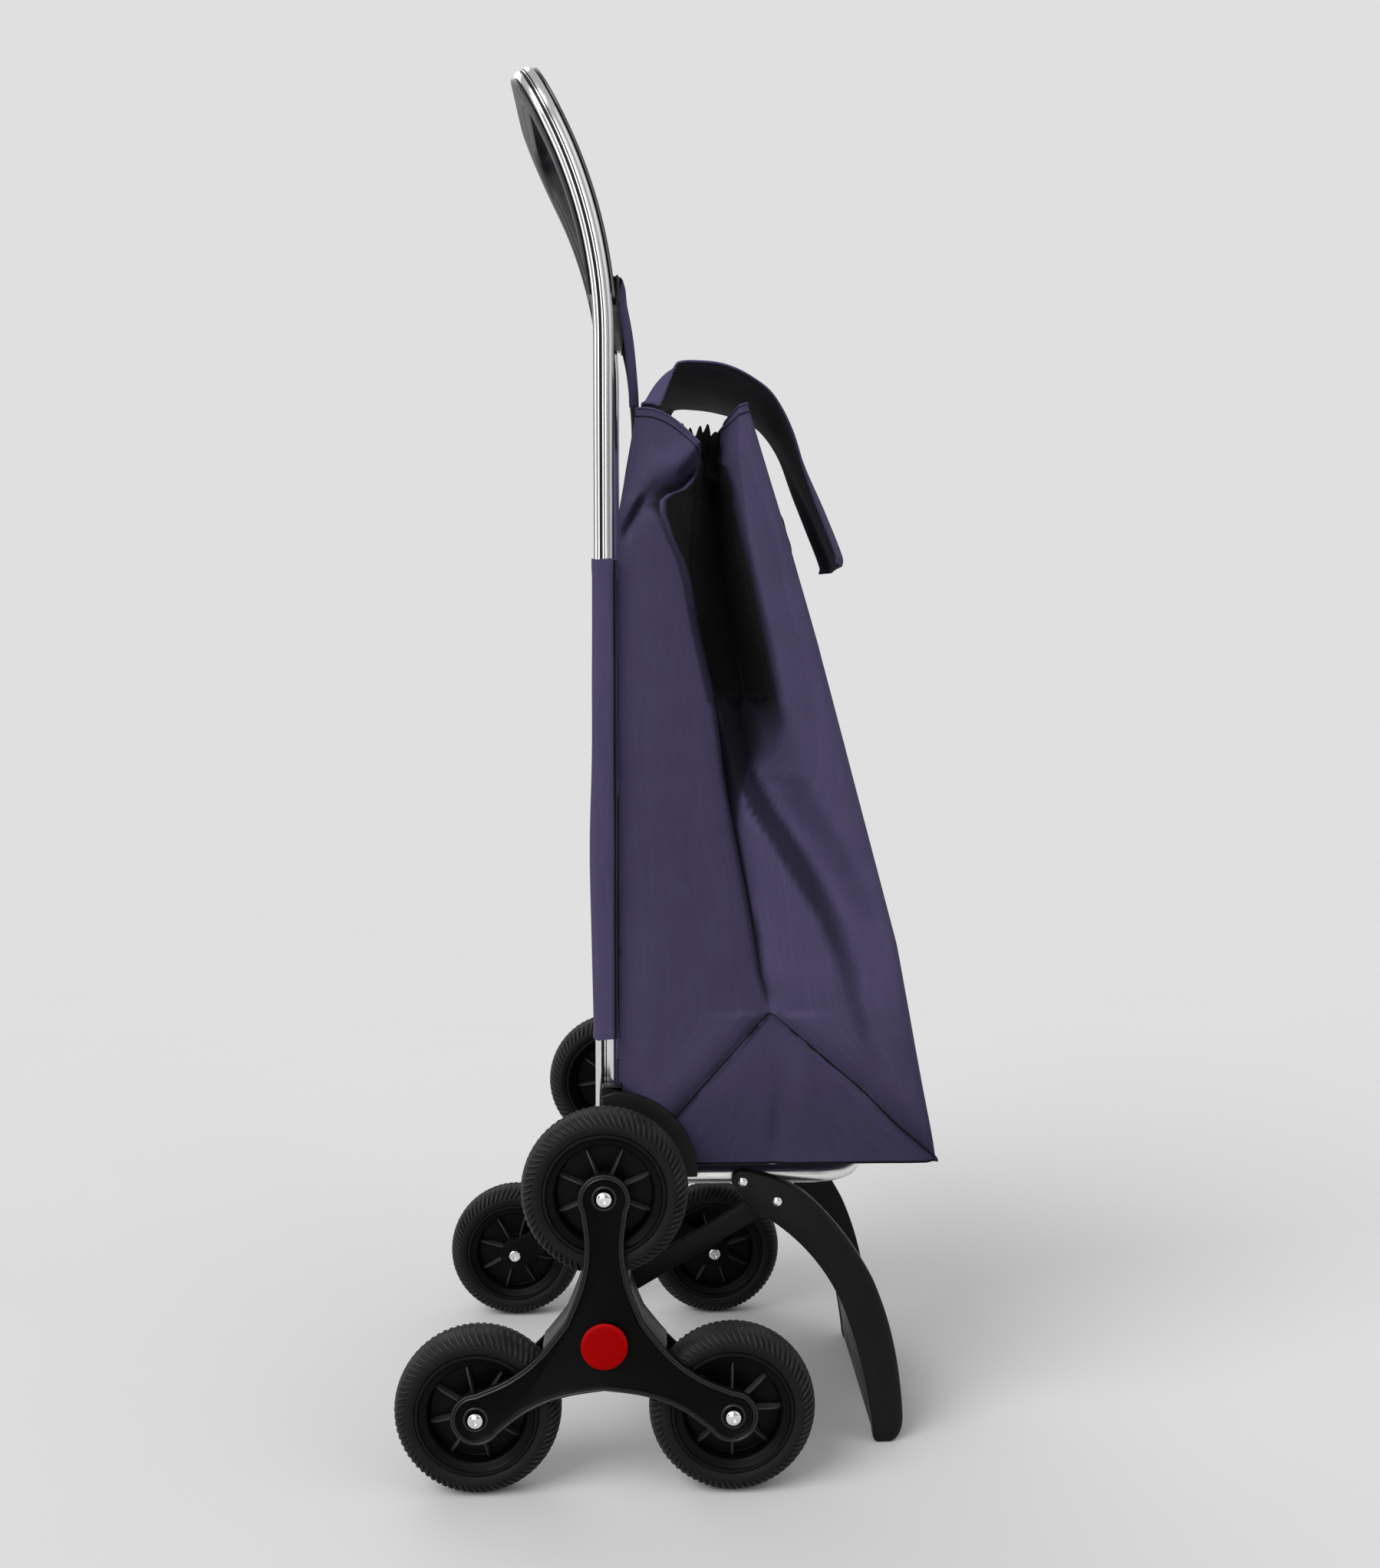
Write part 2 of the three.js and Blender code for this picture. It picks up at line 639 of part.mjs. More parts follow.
// A flat bar from an eye on the axle to the leg's second rivet.
function makeStrut() {
  const length = Math.hypot(RIVET_STRUT.x, RIVET_STRUT.y - AXLE_Z);
  const half = 9;
  const eye = 12;
  const bar = new THREE.Shape();
  bar.moveTo(eye * Math.cos(0.85), -half);
  bar.absarc(length, 0, half, -Math.PI / 2, Math.PI / 2);
  bar.lineTo(eye * Math.cos(0.85), half);
  bar.absarc(0, 0, eye, 0.85, Math.PI * 2 - 0.85);
  const flat = cut(
    slab(bar, -STRUT_Y - STRUT_T, -STRUT_Y),
    pin(0, 0, AXLE_R + GAP, -STRUT_Y - STRUT_T - 1, -STRUT_Y + 1, 20),
  );
  flat.rotateY(-Math.atan2(RIVET_STRUT.y - AXLE_Z, RIVET_STRUT.x));
  flat.translate(0, 0, AXLE_Z);
  return flat;
}
pair("strut", makeStrut(), "plastic");

// ---------------------------------------------------------------- bag

const BAG_TOP_Z = 881;
const FRONT_LINE = [[BAG_FRONT, BAG_BOTTOM_Z], [246, 432], [178, 685], [121, BAG_TOP_Z]];
const BACK_TOP_X = 28;
const MOUTH_LEAN = 0.29;

// The bag from the side, moved in by a wall thickness for the hollow, which runs out through the mouth.
function bagSide(inset) {
  const rise = inset > 0 ? 60 : 0;
  const bottom = BAG_BOTTOM_Z + inset;
  const backX = BAG_BACK_X + inset;
  const mouthX = BACK_TOP_X + inset;
  const front = FRONT_LINE.map(([x, z]) => [x - inset * 1.05, z]);
  front[0] = [BAG_FRONT - inset * 1.8, bottom];
  front[3] = [front[3][0] - rise * MOUTH_LEAN, BAG_TOP_Z + rise];
  const mouth = inset > 0 ? [[mouthX, BAG_TOP_Z + rise]] : [];
  return outline([...front, ...mouth, [mouthX, BAG_TOP_Z], [backX, 790], [backX, bottom]]);
}

// A wedge that folds the side inwards: its point lies on the side panel and it widens towards the mouth.
function gusset(inset) {
  const height = 620;
  const wedge = new THREE.ConeGeometry(1, height, 4);
  wedge.rotateX(-Math.PI / 2);
  wedge.translate(0, 0, height / 2);
  wedge.scale(36 + 1.4 * inset, 92 + 1.4 * inset, 1);
  const lean = new THREE.Matrix4().makeShear(0, 0, 0, 0, -0.13, 0);
  wedge.applyMatrix4(lean);
  wedge.translate(139, -BAG_HALF_W - 12, 377 - 60 - 4 * inset);
  return wedge;
}

function makeBagBody() {
  const corner = outline([[0, 0], [30, 0], [0, 10]]);
  const chamfer = new THREE.ExtrudeGeometry(corner, { depth: 700, bevelEnabled: false });
  chamfer.translate(BAG_BACK_X - 1, -BAG_HALF_W - 1, 200);
  let outer = toSolid(slab(bagSide(0), -BAG_HALF_W, BAG_HALF_W));
  let inner = toSolid(slab(bagSide(BAG_WALL), -BAG_HALF_W + BAG_WALL, BAG_HALF_W - BAG_WALL));
  for (const flip of [(g) => g, mirrored]) {
    const innerChamfer = chamfer.clone();
    innerChamfer.translate(BAG_WALL, BAG_WALL, 0);
    outer = outer.subtract(toSolid(flip(gusset(0)))).subtract(toSolid(flip(chamfer)));
    inner = inner.subtract(toSolid(flip(gusset(BAG_WALL * 1.5)))).subtract(toSolid(flip(innerChamfer)));
  }
  return toGeometry(outer.subtract(inner));
}
add("bag_body", makeBagBody(), "fabric");

const BOARD_Z = BAG_BOTTOM_Z + BAG_WALL + GAP;
add("bag_base_board", block(28, 268, -108, 108, BOARD_Z, BOARD_Z + 2.7), "lining");

// A fabric sleeve round each rail.
function makeRailSleeve() {
  const outer = roundedRect(RAIL_DEPTH + 4.4, RAIL_WIDTH + 4.4, RAIL_CORNER + 2);
  outer.holes.push(roundedRect(RAIL_DEPTH + 0.8, RAIL_WIDTH + 0.8, RAIL_CORNER));
  const tube = new THREE.ExtrudeGeometry(outer, { depth: 402, bevelEnabled: false, curveSegments: 1 });
  tube.translate(RAIL_X, -RAIL_Y, 353);
  return tube;
}
pair("rail_sleeve", makeRailSleeve(), "fabric");

// A sheet with a side-view centreline, given thickness, across the middle of the trolley.
function sheet(line, thickness, halfWidth) {
  const normals = line.map((_, i) => {
    const before = line[Math.max(i - 1, 0)];
    const after = line[Math.min(i + 1, line.length - 1)];
    return new THREE.Vector2(before.y - after.y, after.x - before.x).normalize();
  });
  const upper = line.map((p, i) => p.clone().addScaledVector(normals[i], thickness / 2));
  const lower = line.map((p, i) => p.clone().addScaledVector(normals[i], -thickness / 2));
  return slab(new THREE.Shape([...upper, ...lower.reverse()]), -halfWidth, halfWidth);
}

function through(points, count) {
  const curve = new THREE.SplineCurve(points.map(([x, z]) => new THREE.Vector2(x, z)));
  return curve.getPoints(count);
}

// The panel that hooks the bag's back over the upper crosspiece.
const LOOP_LINE = [[27, 885], [26, 908], [22.2, 946], [17.2, 973], [16, 987], [12, 992], [6, 992.6]];
add("back_loop", sheet(through(LOOP_LINE, 18), 1.6, 84), "fabric");

// The flap hangs over the front and narrows towards its free end.
const FLAP_BACK = [[30, 884], [44, 906], [60, 918], [101, 916]];
const FLAP_FRONT = [[142, 895], [176, 835], [205, 766], [205, 756]];
function makeFlap() {
  const line = through([...FLAP_BACK, ...FLAP_FRONT], 21);
  const flap = sheet(line, FLAP_T, FLAP_HALF_W);
  const position = flap.attributes.position;
  for (let i = 0; i < position.count; i += 1) {
    const along = THREE.MathUtils.smoothstep(position.getX(i), FLAP_TAPER_X, FLAP_TIP_X);
    position.setY(i, position.getY(i) * THREE.MathUtils.lerp(1, FLAP_TIP_SHARE, along));
  }
  return flap;
}
add("bag_flap", makeFlap(), "fabric");

const STRAP_LINE = [[147, 812], [156, 800], [166, 752], [176, 715], [182, 688]];
add("front_strap", sheet(through(STRAP_LINE, 8), 1.6, 15), "lining");

// The gathered collar that closes the bag's mouth under the flap.
function makeCollar() {
  const ring = [[34, 0], [28, 32], [0, 42], [-28, 32], [-34, 0], [-28, -32], [0, -42], [28, -32]];
  const section = outline(ring);
  section.holes.push(outline(ring.map(([x, y]) => [x * 0.92, y * 0.92])));
  const collar = new THREE.ExtrudeGeometry(section, { depth: 28, bevelEnabled: false });
  collar.translate(76, 0, 842);
  return collar;
}
add("bag_collar", makeCollar(), "lining");

export default trolley;
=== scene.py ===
import math
import bmesh
import bpy
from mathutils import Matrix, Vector, noise


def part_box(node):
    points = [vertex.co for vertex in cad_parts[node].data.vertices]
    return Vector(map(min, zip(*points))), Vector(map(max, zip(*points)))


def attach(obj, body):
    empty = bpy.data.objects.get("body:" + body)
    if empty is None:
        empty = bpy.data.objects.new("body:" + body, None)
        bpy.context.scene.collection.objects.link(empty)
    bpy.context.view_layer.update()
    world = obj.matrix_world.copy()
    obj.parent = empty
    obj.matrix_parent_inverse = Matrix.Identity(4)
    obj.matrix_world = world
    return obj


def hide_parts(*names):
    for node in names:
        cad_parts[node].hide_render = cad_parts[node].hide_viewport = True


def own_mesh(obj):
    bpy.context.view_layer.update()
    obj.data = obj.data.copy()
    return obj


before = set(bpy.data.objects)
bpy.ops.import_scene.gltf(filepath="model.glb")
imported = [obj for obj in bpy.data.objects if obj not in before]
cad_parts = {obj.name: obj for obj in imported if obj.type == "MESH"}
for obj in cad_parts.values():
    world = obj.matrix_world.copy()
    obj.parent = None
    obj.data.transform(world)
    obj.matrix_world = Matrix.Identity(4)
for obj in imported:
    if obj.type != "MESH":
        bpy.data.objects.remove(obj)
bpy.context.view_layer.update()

MM = 0.001
axle_low, axle_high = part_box("axle")
AXLE_X = (axle_low.x + axle_high.x) / 2 / MM
AXLE_Z = (axle_low.z + axle_high.z) / 2 / MM
STAR_R = 118.6
SIDES = {"right": -1, "left": 1}
ARMS = {"top": 90, "rear": 210, "front": 330}


def at(x, y, z):
    return Vector(((x + AXLE_X) * MM, y * MM, z * MM))


def smoothstep(x, low, high):
    t = min(max((x - low) / (high - low), 0.0), 1.0)
    return t * t * (3 - 2 * t)


def mix(a, b, t):
    return a + (b - a) * t


def table(value, stations):
    """Straight-line reading between stations, each a pair of value and result."""
    if value <= stations[0][0]:
        return stations[0][1]
    for (v0, r0), (v1, r1) in zip(stations, stations[1:]):
        if value <= v1:
            return mix(r0, r1, (value - v0) / (v1 - v0))
    return stations[-1][1]


def quarter_turn(steps):
    """Sine and cosine of the angles that divide a quarter turn into equal steps."""
    angles = [math.pi / 2 * i / steps for i in range(steps + 1)]
    return [(math.sin(angle), math.cos(angle)) for angle in angles]


def spline(points, steps):
    """A smooth line through the points, with the given number of steps between each two."""
    pts = [Vector(p) for p in points]
    ends = [pts[0] * 2 - pts[1]] + pts + [pts[-1] * 2 - pts[-2]]
    line = []
    for a, b, c, d in zip(ends, ends[1:], ends[2:], ends[3:]):
        for i in range(steps):
            t = i / steps
            line.append(0.5 * (2 * b + (c - a) * t + (2 * a - 5 * b + 4 * c - d) * t * t
                               + (3 * b - a - 3 * c + d) * t ** 3))
    return line + [pts[-1]]


# ---------------------------------------------------------------- camera, light and floor

scene = bpy.context.scene
scene.view_settings.view_transform = "Standard"

camera = bpy.data.objects.new("camera", bpy.data.cameras.new("camera"))
camera.location = (-0.0184, -1.376, 0.6418)
camera.rotation_euler = (math.radians(86.68), 0, math.radians(-1.51))
camera.data.lens = 34.75
camera.data.sensor_width = 36
camera.data.sensor_fit = "AUTO"
scene.collection.objects.link(camera)
scene.camera = camera


def softbox(name, place, target, size, power):
    data = bpy.data.lights.new(name, "AREA")
    data.shape = "RECTANGLE"
    data.size, data.size_y = size
    data.energy = power
    light = bpy.data.objects.new(name, data)
    light.location = place
    light.rotation_euler = (Vector(target) - Vector(place)).to_track_quat("-Z", "Y").to_euler()
    light.visible_diffuse = False
    scene.collection.objects.link(light)


def sun(name, towards, strength, spread):
    data = bpy.data.lights.new(name, "SUN")
    data.energy = strength
    data.angle = math.radians(spread)
    light = bpy.data.objects.new(name, data)
    light.rotation_euler = Vector(towards).to_track_quat("Z", "Y").to_euler()
    scene.collection.objects.link(light)


sun("key", (-0.8, -0.8, 1.0), 1.45, 40)
sun("fill", (0.9, -0.55, 0.55), 0.25, 50)
sun("rim", (-0.5, 0.9, 0.7), 0.36, 40)
softbox("front_panel", (-0.7, -2.7, 1.0), (0, 0, 0.6), (1.5, 2.4), 18)
softbox("left_panel", (-2.4, -0.6, 1.2), (0, 0, 0.6), (1.0, 2.0), 12)

BACKGROUND = 0.745
AMBIENT_BELOW = 0.12
AMBIENT_ABOVE = 0.5


def make_world():
    """A plain bright studio to the camera, with softer light from above than the camera's background."""
    world = bpy.data.worlds.new("studio")
    world.use_nodes = True
    scene.world = world
    tree = world.node_tree
    sky = tree.nodes["Background"]
    sky.inputs["Color"].default_value = (1, 1, 1, 1)
    place = tree.nodes.new("ShaderNodeTexCoord")
    parts = tree.nodes.new("ShaderNodeSeparateXYZ")
    height = tree.nodes.new("ShaderNodeMapRange")
    ray = tree.nodes.new("ShaderNodeLightPath")
    level = tree.nodes.new("ShaderNodeMapRange")
    height.inputs["From Min"].default_value = -0.3
    height.inputs["From Max"].default_value = 0.6
    height.inputs["To Min"].default_value = AMBIENT_BELOW
    height.inputs["To Max"].default_value = AMBIENT_ABOVE
    level.inputs["To Max"].default_value = BACKGROUND
    tree.links.new(place.outputs["Generated"], parts.inputs["Vector"])
    tree.links.new(parts.outputs["Z"], height.inputs["Value"])
    tree.links.new(height.outputs["Result"], level.inputs["To Min"])
    tree.links.new(ray.outputs["Is Camera Ray"], level.inputs["Value"])
    tree.links.new(level.outputs["Result"], sky.inputs["Strength"])


make_world()


# ---------------------------------------------------------------- materials

class Finish:
    """A node material under construction."""

    def __init__(self, name, rough, metallic=0.0, specular=0.5):
        self.material = bpy.data.materials.new(name)
        self.material.use_nodes = True
        self.tree = self.material.node_tree
        self.shader = self.tree.nodes["Principled BSDF"]
        self.shader.inputs["Roughness"].default_value = rough
        self.shader.inputs["Metallic"].default_value = metallic
        self.shader.inputs["Specular IOR Level"].default_value = specular

    def node(self, kind, **settings):
        made = self.tree.nodes.new(kind)
        for key, value in settings.items():
            if key in made.inputs:
                made.inputs[key].default_value = value
            else:
                setattr(made, key, value)
        return made

    def link(self, a, b):
        self.tree.links.new(a, b)

    def coords(self, output="Object", scale=(1, 1, 1)):
        source = self.node("ShaderNodeTexCoord")
        mapping = self.node("ShaderNodeMapping", Scale=scale)
        self.link(source.outputs[output], mapping.inputs["Vector"])
        return mapping.outputs["Vector"]

    def noise(self, scale, detail=3.0, output="Object", stretch=(1, 1, 1), rough=0.55):
        made = self.node("ShaderNodeTexNoise", Scale=scale, Detail=detail, Roughness=rough)
        self.link(self.coords(output, stretch), made.inputs["Vector"])
        return made.outputs["Fac"]

    def ramp(self, value, low, high, colour_low, colour_high):
        made = self.node("ShaderNodeValToRGB")
        made.color_ramp.elements[0].position = low
        made.color_ramp.elements[1].position = high
        made.color_ramp.elements[0].color = (*colour_low, 1)
        made.color_ramp.elements[1].color = (*colour_high, 1)
        self.link(value, made.inputs["Fac"])
        return made.outputs["Color"]

    def range(self, value, low, high, to_low, to_high):
        made = self.node("ShaderNodeMapRange")
        for key, number in zip(("From Min", "From Max", "To Min", "To Max"), (low, high, to_low, to_high)):
            made.inputs[key].default_value = number
        self.link(value, made.inputs["Value"])
        return made.outputs["Result"]

    def math(self, operation, a, b):
        made = self.node("ShaderNodeMath", operation=operation)
        for socket, value in zip(made.inputs, (a, b)):
            if isinstance(value, (int, float)):
                socket.default_value = value
            else:
                self.link(value, socket)
        return made.outputs[0]

    def blend(self, factor, a, b):
        made = self.node("ShaderNodeMix", data_type="RGBA", blend_type="MIX")
        self.link(factor, made.inputs[0])
        for socket, value in zip((made.inputs[6], made.inputs[7]), (a, b)):
            if isinstance(value, tuple):
                socket.default_value = (*value, 1)
            else:
                self.link(value, socket)
        return made.outputs[2]

    def colour(self, value):
        self.link(value, self.shader.inputs["Base Color"])

    def roughness(self, value):
        self.link(value, self.shader.inputs["Roughness"])

    def bump(self, height, distance, strength):
        made = self.node("ShaderNodeBump", Distance=distance, Strength=strength)
        self.link(height, made.inputs["Height"])
        self.link(made.outputs["Normal"], self.shader.inputs["Normal"])


def edge_wear_and_highlight(finish, base, worn_and_lit, amount):
    """Paler edges, partly rubbed wear and partly a painted highlight, broken up by a fine noise."""
    shape = finish.node("ShaderNodeNewGeometry").outputs["Pointiness"]
    edge = finish.range(shape, 0.51, 0.6, 0.0, amount)
    factor = finish.math("MULTIPLY", edge, finish.noise(90, 4))
    return finish.blend(factor, base, worn_and_lit)


def plastic(name, dark, pale, rough, specular):
    """Moulded plastic: a cloudy tone, paler edges (partly rubbed wear, partly a painted highlight) and a fine
    grain.
    """
    finish = Finish(name, rough, specular=specular)
    tone = finish.ramp(finish.noise(14, 4), 0.35, 0.7, dark, pale)
    worn_and_lit = tuple(min(1.0, c * 5 + 0.012) for c in pale)
    finish.colour(edge_wear_and_highlight(finish, tone, worn_and_lit, 0.8))
    finish.roughness(finish.range(finish.noise(35, 4), 0.3, 0.7, rough - 0.06, rough + 0.08))
    finish.bump(finish.noise(900, 2), 0.00012, 0.5)
    return finish.material


def metal(name, dark, pale, rough, stretch):
    """Drawn metal, with faint streaks that run the way the noise is stretched."""
    finish = Finish(name, rough, metallic=1.0)
    streaks = finish.noise(60, 4, stretch=stretch)
    finish.colour(finish.ramp(streaks, 0.3, 0.7, dark, pale))
    finish.roughness(finish.range(streaks, 0.25, 0.75, rough - 0.05, rough + 0.09))
    finish.bump(streaks, 0.00002, 0.15)
    return finish.material


def rubber():
    """Tyre rubber, with dust on the parts that the tread attribute marks."""
    finish = Finish("tyre_rubber_dusty", 0.62, specular=0.2)
    dust = finish.noise(40, 5)
    tread = finish.node("ShaderNodeAttribute", attribute_name="tread").outputs["Fac"]
    wall = finish.ramp(dust, 0.35, 0.75, (0.003, 0.003, 0.003), (0.008, 0.0078, 0.0076))
    dusty = finish.ramp(dust, 0.3, 0.7, (0.016, 0.0155, 0.015), (0.05, 0.048, 0.046))
    finish.colour(finish.blend(tread, wall, dusty))
    finish.roughness(finish.range(dust, 0.3, 0.7, 0.5, 0.75))
    finish.bump(finish.noise(700, 3), 0.00015, 0.6)
    return finish.material


def weave(finish, pitch, direction_a, direction_b):
    """Threads over and under each other; the pitch is the width of two threads."""
    threads = []
    for direction in (direction_a, direction_b):
        wave = finish.node("ShaderNodeTexWave", bands_direction=direction)
        wave.inputs["Scale"].default_value = math.pi / 10 / (pitch * MM)
        wave.inputs["Distortion"].default_value = 3.0
        finish.link(finish.coords("UV"), wave.inputs["Vector"])
        threads.append(wave.outputs["Fac"])
    return finish.math("MULTIPLY", threads[0], threads[1])


def fabric(name, deep, body, lit, pitch, black=None):
    """Woven cloth with uneven dye, a slight nap and, where the shade attribute says, black that is its lining
    in places and painted shade elsewhere.
    """
    finish = Finish(name, 0.72, specular=0.14)
    threads = weave(finish, pitch, "X", "Y")
    cloudy = finish.noise(5, 5, rough=0.6)
    tone = finish.ramp(cloudy, 0.3, 0.72, deep, body)
    colour = finish.blend(finish.math("MULTIPLY", threads, 0.3), tone, lit)
    slub = finish.noise(260, 3, output="UV", stretch=(1, 0.08, 1))
    colour = finish.blend(finish.range(slub, 0.45, 0.8, 0.0, 0.3), colour, lit)
    if black:
        # The shade attribute mixes in the black: the lining where it shows, painted shade elsewhere.
        shade = finish.node("ShaderNodeAttribute", attribute_name="shade").outputs["Fac"]
        colour = finish.blend(shade, colour, black)
    finish.colour(colour)
    finish.roughness(finish.range(slub, 0.3, 0.7, 0.64, 0.82))
    finish.shader.inputs["Sheen Weight"].default_value = 0.05
    finish.shader.inputs["Sheen Roughness"].default_value = 0.4
    crumple = finish.math("MULTIPLY", finish.noise(38, 3, rough=0.5), 3.0)
    finish.bump(finish.math("ADD", threads, crumple), 0.00022, 0.6)
    return finish.material


def webbing():
    finish = Finish("napped_webbing", 0.85, specular=0.15)
    ribs = weave(finish, 2.2, "X", "Y")
    fuzz = finish.noise(900, 4)
    nap = finish.math("MULTIPLY", ribs, fuzz)
    finish.colour(finish.ramp(nap, 0.1, 0.7, (0.004, 0.004, 0.004), (0.02, 0.02, 0.021)))
    finish.bump(finish.math("ADD", ribs, fuzz), 0.0005, 0.8)
    return finish.material


# Black of the lining, which the shade attribute also blends in as painted shade.
LINING_AND_SHADE_BLACK = (0.0012, 0.0012, 0.0014)
NAVY_DEEP = (0.085, 0.070, 0.155)
NAVY_BODY = (0.115, 0.095, 0.205)
NAVY_LIT = (0.18, 0.155, 0.31)
navy = fabric("navy_cloth", NAVY_DEEP, NAVY_BODY, NAVY_LIT, 0.9, LINING_AND_SHADE_BLACK)
# The flap's underside: the navy cloth darkened as painted shade.
underside = fabric(
    "navy_underside_painted_shade", (0.012, 0.011, 0.02), (0.02, 0.018, 0.034), (0.04, 0.036, 0.06), 0.9,
)
lining = fabric("black_lining", (0.002, 0.002, 0.0022), (0.004, 0.004, 0.0045), (0.009, 0.009, 0.01), 0.7)
thread = fabric("seam_tape", (0.002, 0.002, 0.003), (0.004, 0.004, 0.006), (0.01, 0.009, 0.012), 0.8)
strap_cloth = webbing()
aluminium = metal("polished_aluminium", (0.72, 0.72, 0.73), (0.86, 0.86, 0.87), 0.17, (1, 1, 0.04))
brushed = metal("brushed_aluminium", (0.62, 0.61, 0.59), (0.92, 0.91, 0.9), 0.24, (0.05, 1, 1))
# Dark metal for the rail's groove: painted shade in the recess.
groove_shade_metal = metal("groove_aluminium_painted_shade", (0.012, 0.012, 0.012), (0.04, 0.04, 0.042), 0.4, (1, 1, 0.04))
chrome = metal("bright_chrome", (0.7, 0.71, 0.72), (0.95, 0.95, 0.96), 0.08, (1, 1, 1))
grip_black = plastic("grip_gloss", (0.010, 0.010, 0.011), (0.02, 0.02, 0.021), 0.26, 0.75)
black_plastic = plastic("moulded_black", (0.0035, 0.0035, 0.0036), (0.008, 0.008, 0.0082), 0.42, 0.16)
star_black = plastic("star_satin", (0.0018, 0.0018, 0.0019), (0.0036, 0.0036, 0.0038), 0.4, 0.06)
# The star plastic made paler and glossier as a painted highlight, for the bead rim, the drum and the bolt
# seats.
star_painted_highlight = plastic("star_painted_highlight", (0.003, 0.003, 0.0031), (0.007, 0.007, 0.0072), 0.32, 0.38)
rim_black = plastic("rim_black", (0.0014, 0.0014, 0.0014), (0.003, 0.003, 0.003), 0.4, 0.1)
rib_black = plastic("rib_black", (0.008, 0.008, 0.008), (0.014, 0.014, 0.014), 0.4, 0.5)
cap_red = plastic("cap_red", (0.46, 0.0002, 0.0006), (0.56, 0.0006, 0.001), 0.45, 0.06)
tyre_black = rubber()


# ---------------------------------------------------------------- mesh making

def piece(name, verts, faces, body, materials, nodes, uvs, face_materials, sharp, values):
    """A mesh object in place on its body. verts are in millimetres, uvs in metres, one to a vertex."""
    mesh = bpy.data.meshes.new(name)
    mesh.from_pydata([at(*v) for v in verts], [], faces)
    for material in materials if isinstance(materials, (list, tuple)) else [materials]:
        mesh.materials.append(material)
    layer = mesh.uv_layers.new(name="UVMap")
    for loop in mesh.loops:
        layer.data[loop.index].uv = uvs[loop.vertex_index]
    for polygon, index in zip(mesh.polygons, face_materials):
        polygon.material_index = index
    for key, numbers in (values or {}).items():
        mesh.attributes.new(key, "FLOAT", "POINT").data.foreach_set("value", numbers)
    mesh.shade_smooth()
    mesh.set_sharp_from_angle(angle=math.radians(sharp))
    obj = bpy.data.objects.new(name, mesh)
    scene.collection.objects.link(obj)
    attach(obj, body)
    if nodes:
        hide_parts(*nodes)
    return obj


class Mesh:
    """Verts, faces, uvs and each face's material index, gathered from several shells."""

    def __init__(self):
        self.verts, self.faces, self.uvs, self.marks = [], [], [], []

    def loft(self, rings, closed=True, capped=True, mark=None):
        """Joins rings of points; closed joins each ring's ends and capped closes the first and last ring."""
        base = len(self.verts)
        count = len(rings[0])
        across = [0.0]
        longest = max(rings, key=lambda r: sum((r[i] - r[i - 1]).length for i in range(1, count)))
        for i in range(1, count):
            across.append(across[-1] + (longest[i] - longest[i - 1]).length)
        along = 0.0
        for j, ring in enumerate(rings):
            if j:
                along += sum((a - b).length for a, b in zip(ring, rings[j - 1])) / count
            for i, point in enumerate(ring):
                self.verts.append(point)
                self.uvs.append((across[i] * MM, along * MM))
        span = count if closed else count - 1
        for j in range(len(rings) - 1):
            for i in range(span):
                k = (i + 1) % count
                a, b = base + j * count, base + (j + 1) * count
                self.faces.append((a + i, a + k, b + k, b + i))
                self.marks.append(mark(i, j) if mark else 0)
        if capped:
            last = base + (len(rings) - 1) * count
            self.faces.append(tuple(base + i for i in reversed(range(count))))
            self.faces.append(tuple(last + i for i in range(count)))
            self.marks += [0, 0]

    def turned(self, profile, x, z, sides, closed=False, mark=0):
        """Turns a profile of radius and y about a line across the trolley."""
        rows = []
        for r, y in profile:
            if r < 1e-6:
                rows.append([len(self.verts)])
                self.verts.append(Vector((x, y, z)))
                self.uvs.append((0, y * MM))
                continue
            start = len(self.verts)
            for i in range(sides):
                angle = 2 * math.pi * i / sides
                self.verts.append(Vector((x + r * math.cos(angle), y, z + r * math.sin(angle))))
                self.uvs.append((angle * r * MM, y * MM))
            rows.append([start + i for i in range(sides)])
        pairs = list(zip(rows, rows[1:])) + ([(rows[-1], rows[0])] if closed else [])
        for a, b in pairs:
            for i in range(sides):
                k = (i + 1) % sides
                if len(a) == 1:
                    self.faces.append((a[0], b[k], b[i]))
                elif len(b) == 1:
                    self.faces.append((a[i], a[k], b[0]))
                else:
                    self.faces.append((a[i], a[k], b[k], b[i]))
                self.marks.append(mark)

    def slab(self, outline, y0, y1, bevel=1.0, widths=None, edge_depth=None, steps=3, mark=0):
        """Gives an outline of x and z a thickness, with rounded edges; the wide rounding is at y0."""
        inward = inset_directions(outline)
        widths = widths or [1.0] * len(outline)
        depth = edge_depth or bevel
        small = min(bevel, 1.0)
        direction = 1 if y1 > y0 else -1
        levels = []
        for sin, cos in quarter_turn(steps):
            levels.append((bevel * (1 - sin), y0 + direction * depth * (1 - cos), True))
        for sin, cos in quarter_turn(steps):
            levels.append((small * (1 - cos), y1 - direction * small * (1 - sin), False))
        rings = []
        for inset, y, wide in levels:
            ring = []
            for (x, z), (nx, nz), width in zip(outline, inward, widths):
                share = inset * (width if wide else 1.0)
                ring.append(Vector((x + nx * share, y, z + nz * share)))
            rings.append(ring)
        self.loft(rings, mark=lambda i, j: mark)

    def piece(self, name, body, slot, materials, nodes=(), sharp=38, values=None):
        """Makes the object, with every face turned outwards."""
        obj = piece(name, self.verts, self.faces, body, materials, nodes, self.uvs, self.marks, sharp,
                    values)
        work = bmesh.new()
        work.from_mesh(obj.data)
        bmesh.ops.recalc_face_normals(work, faces=work.faces)
        work.to_mesh(obj.data)
        work.free()
        return obj


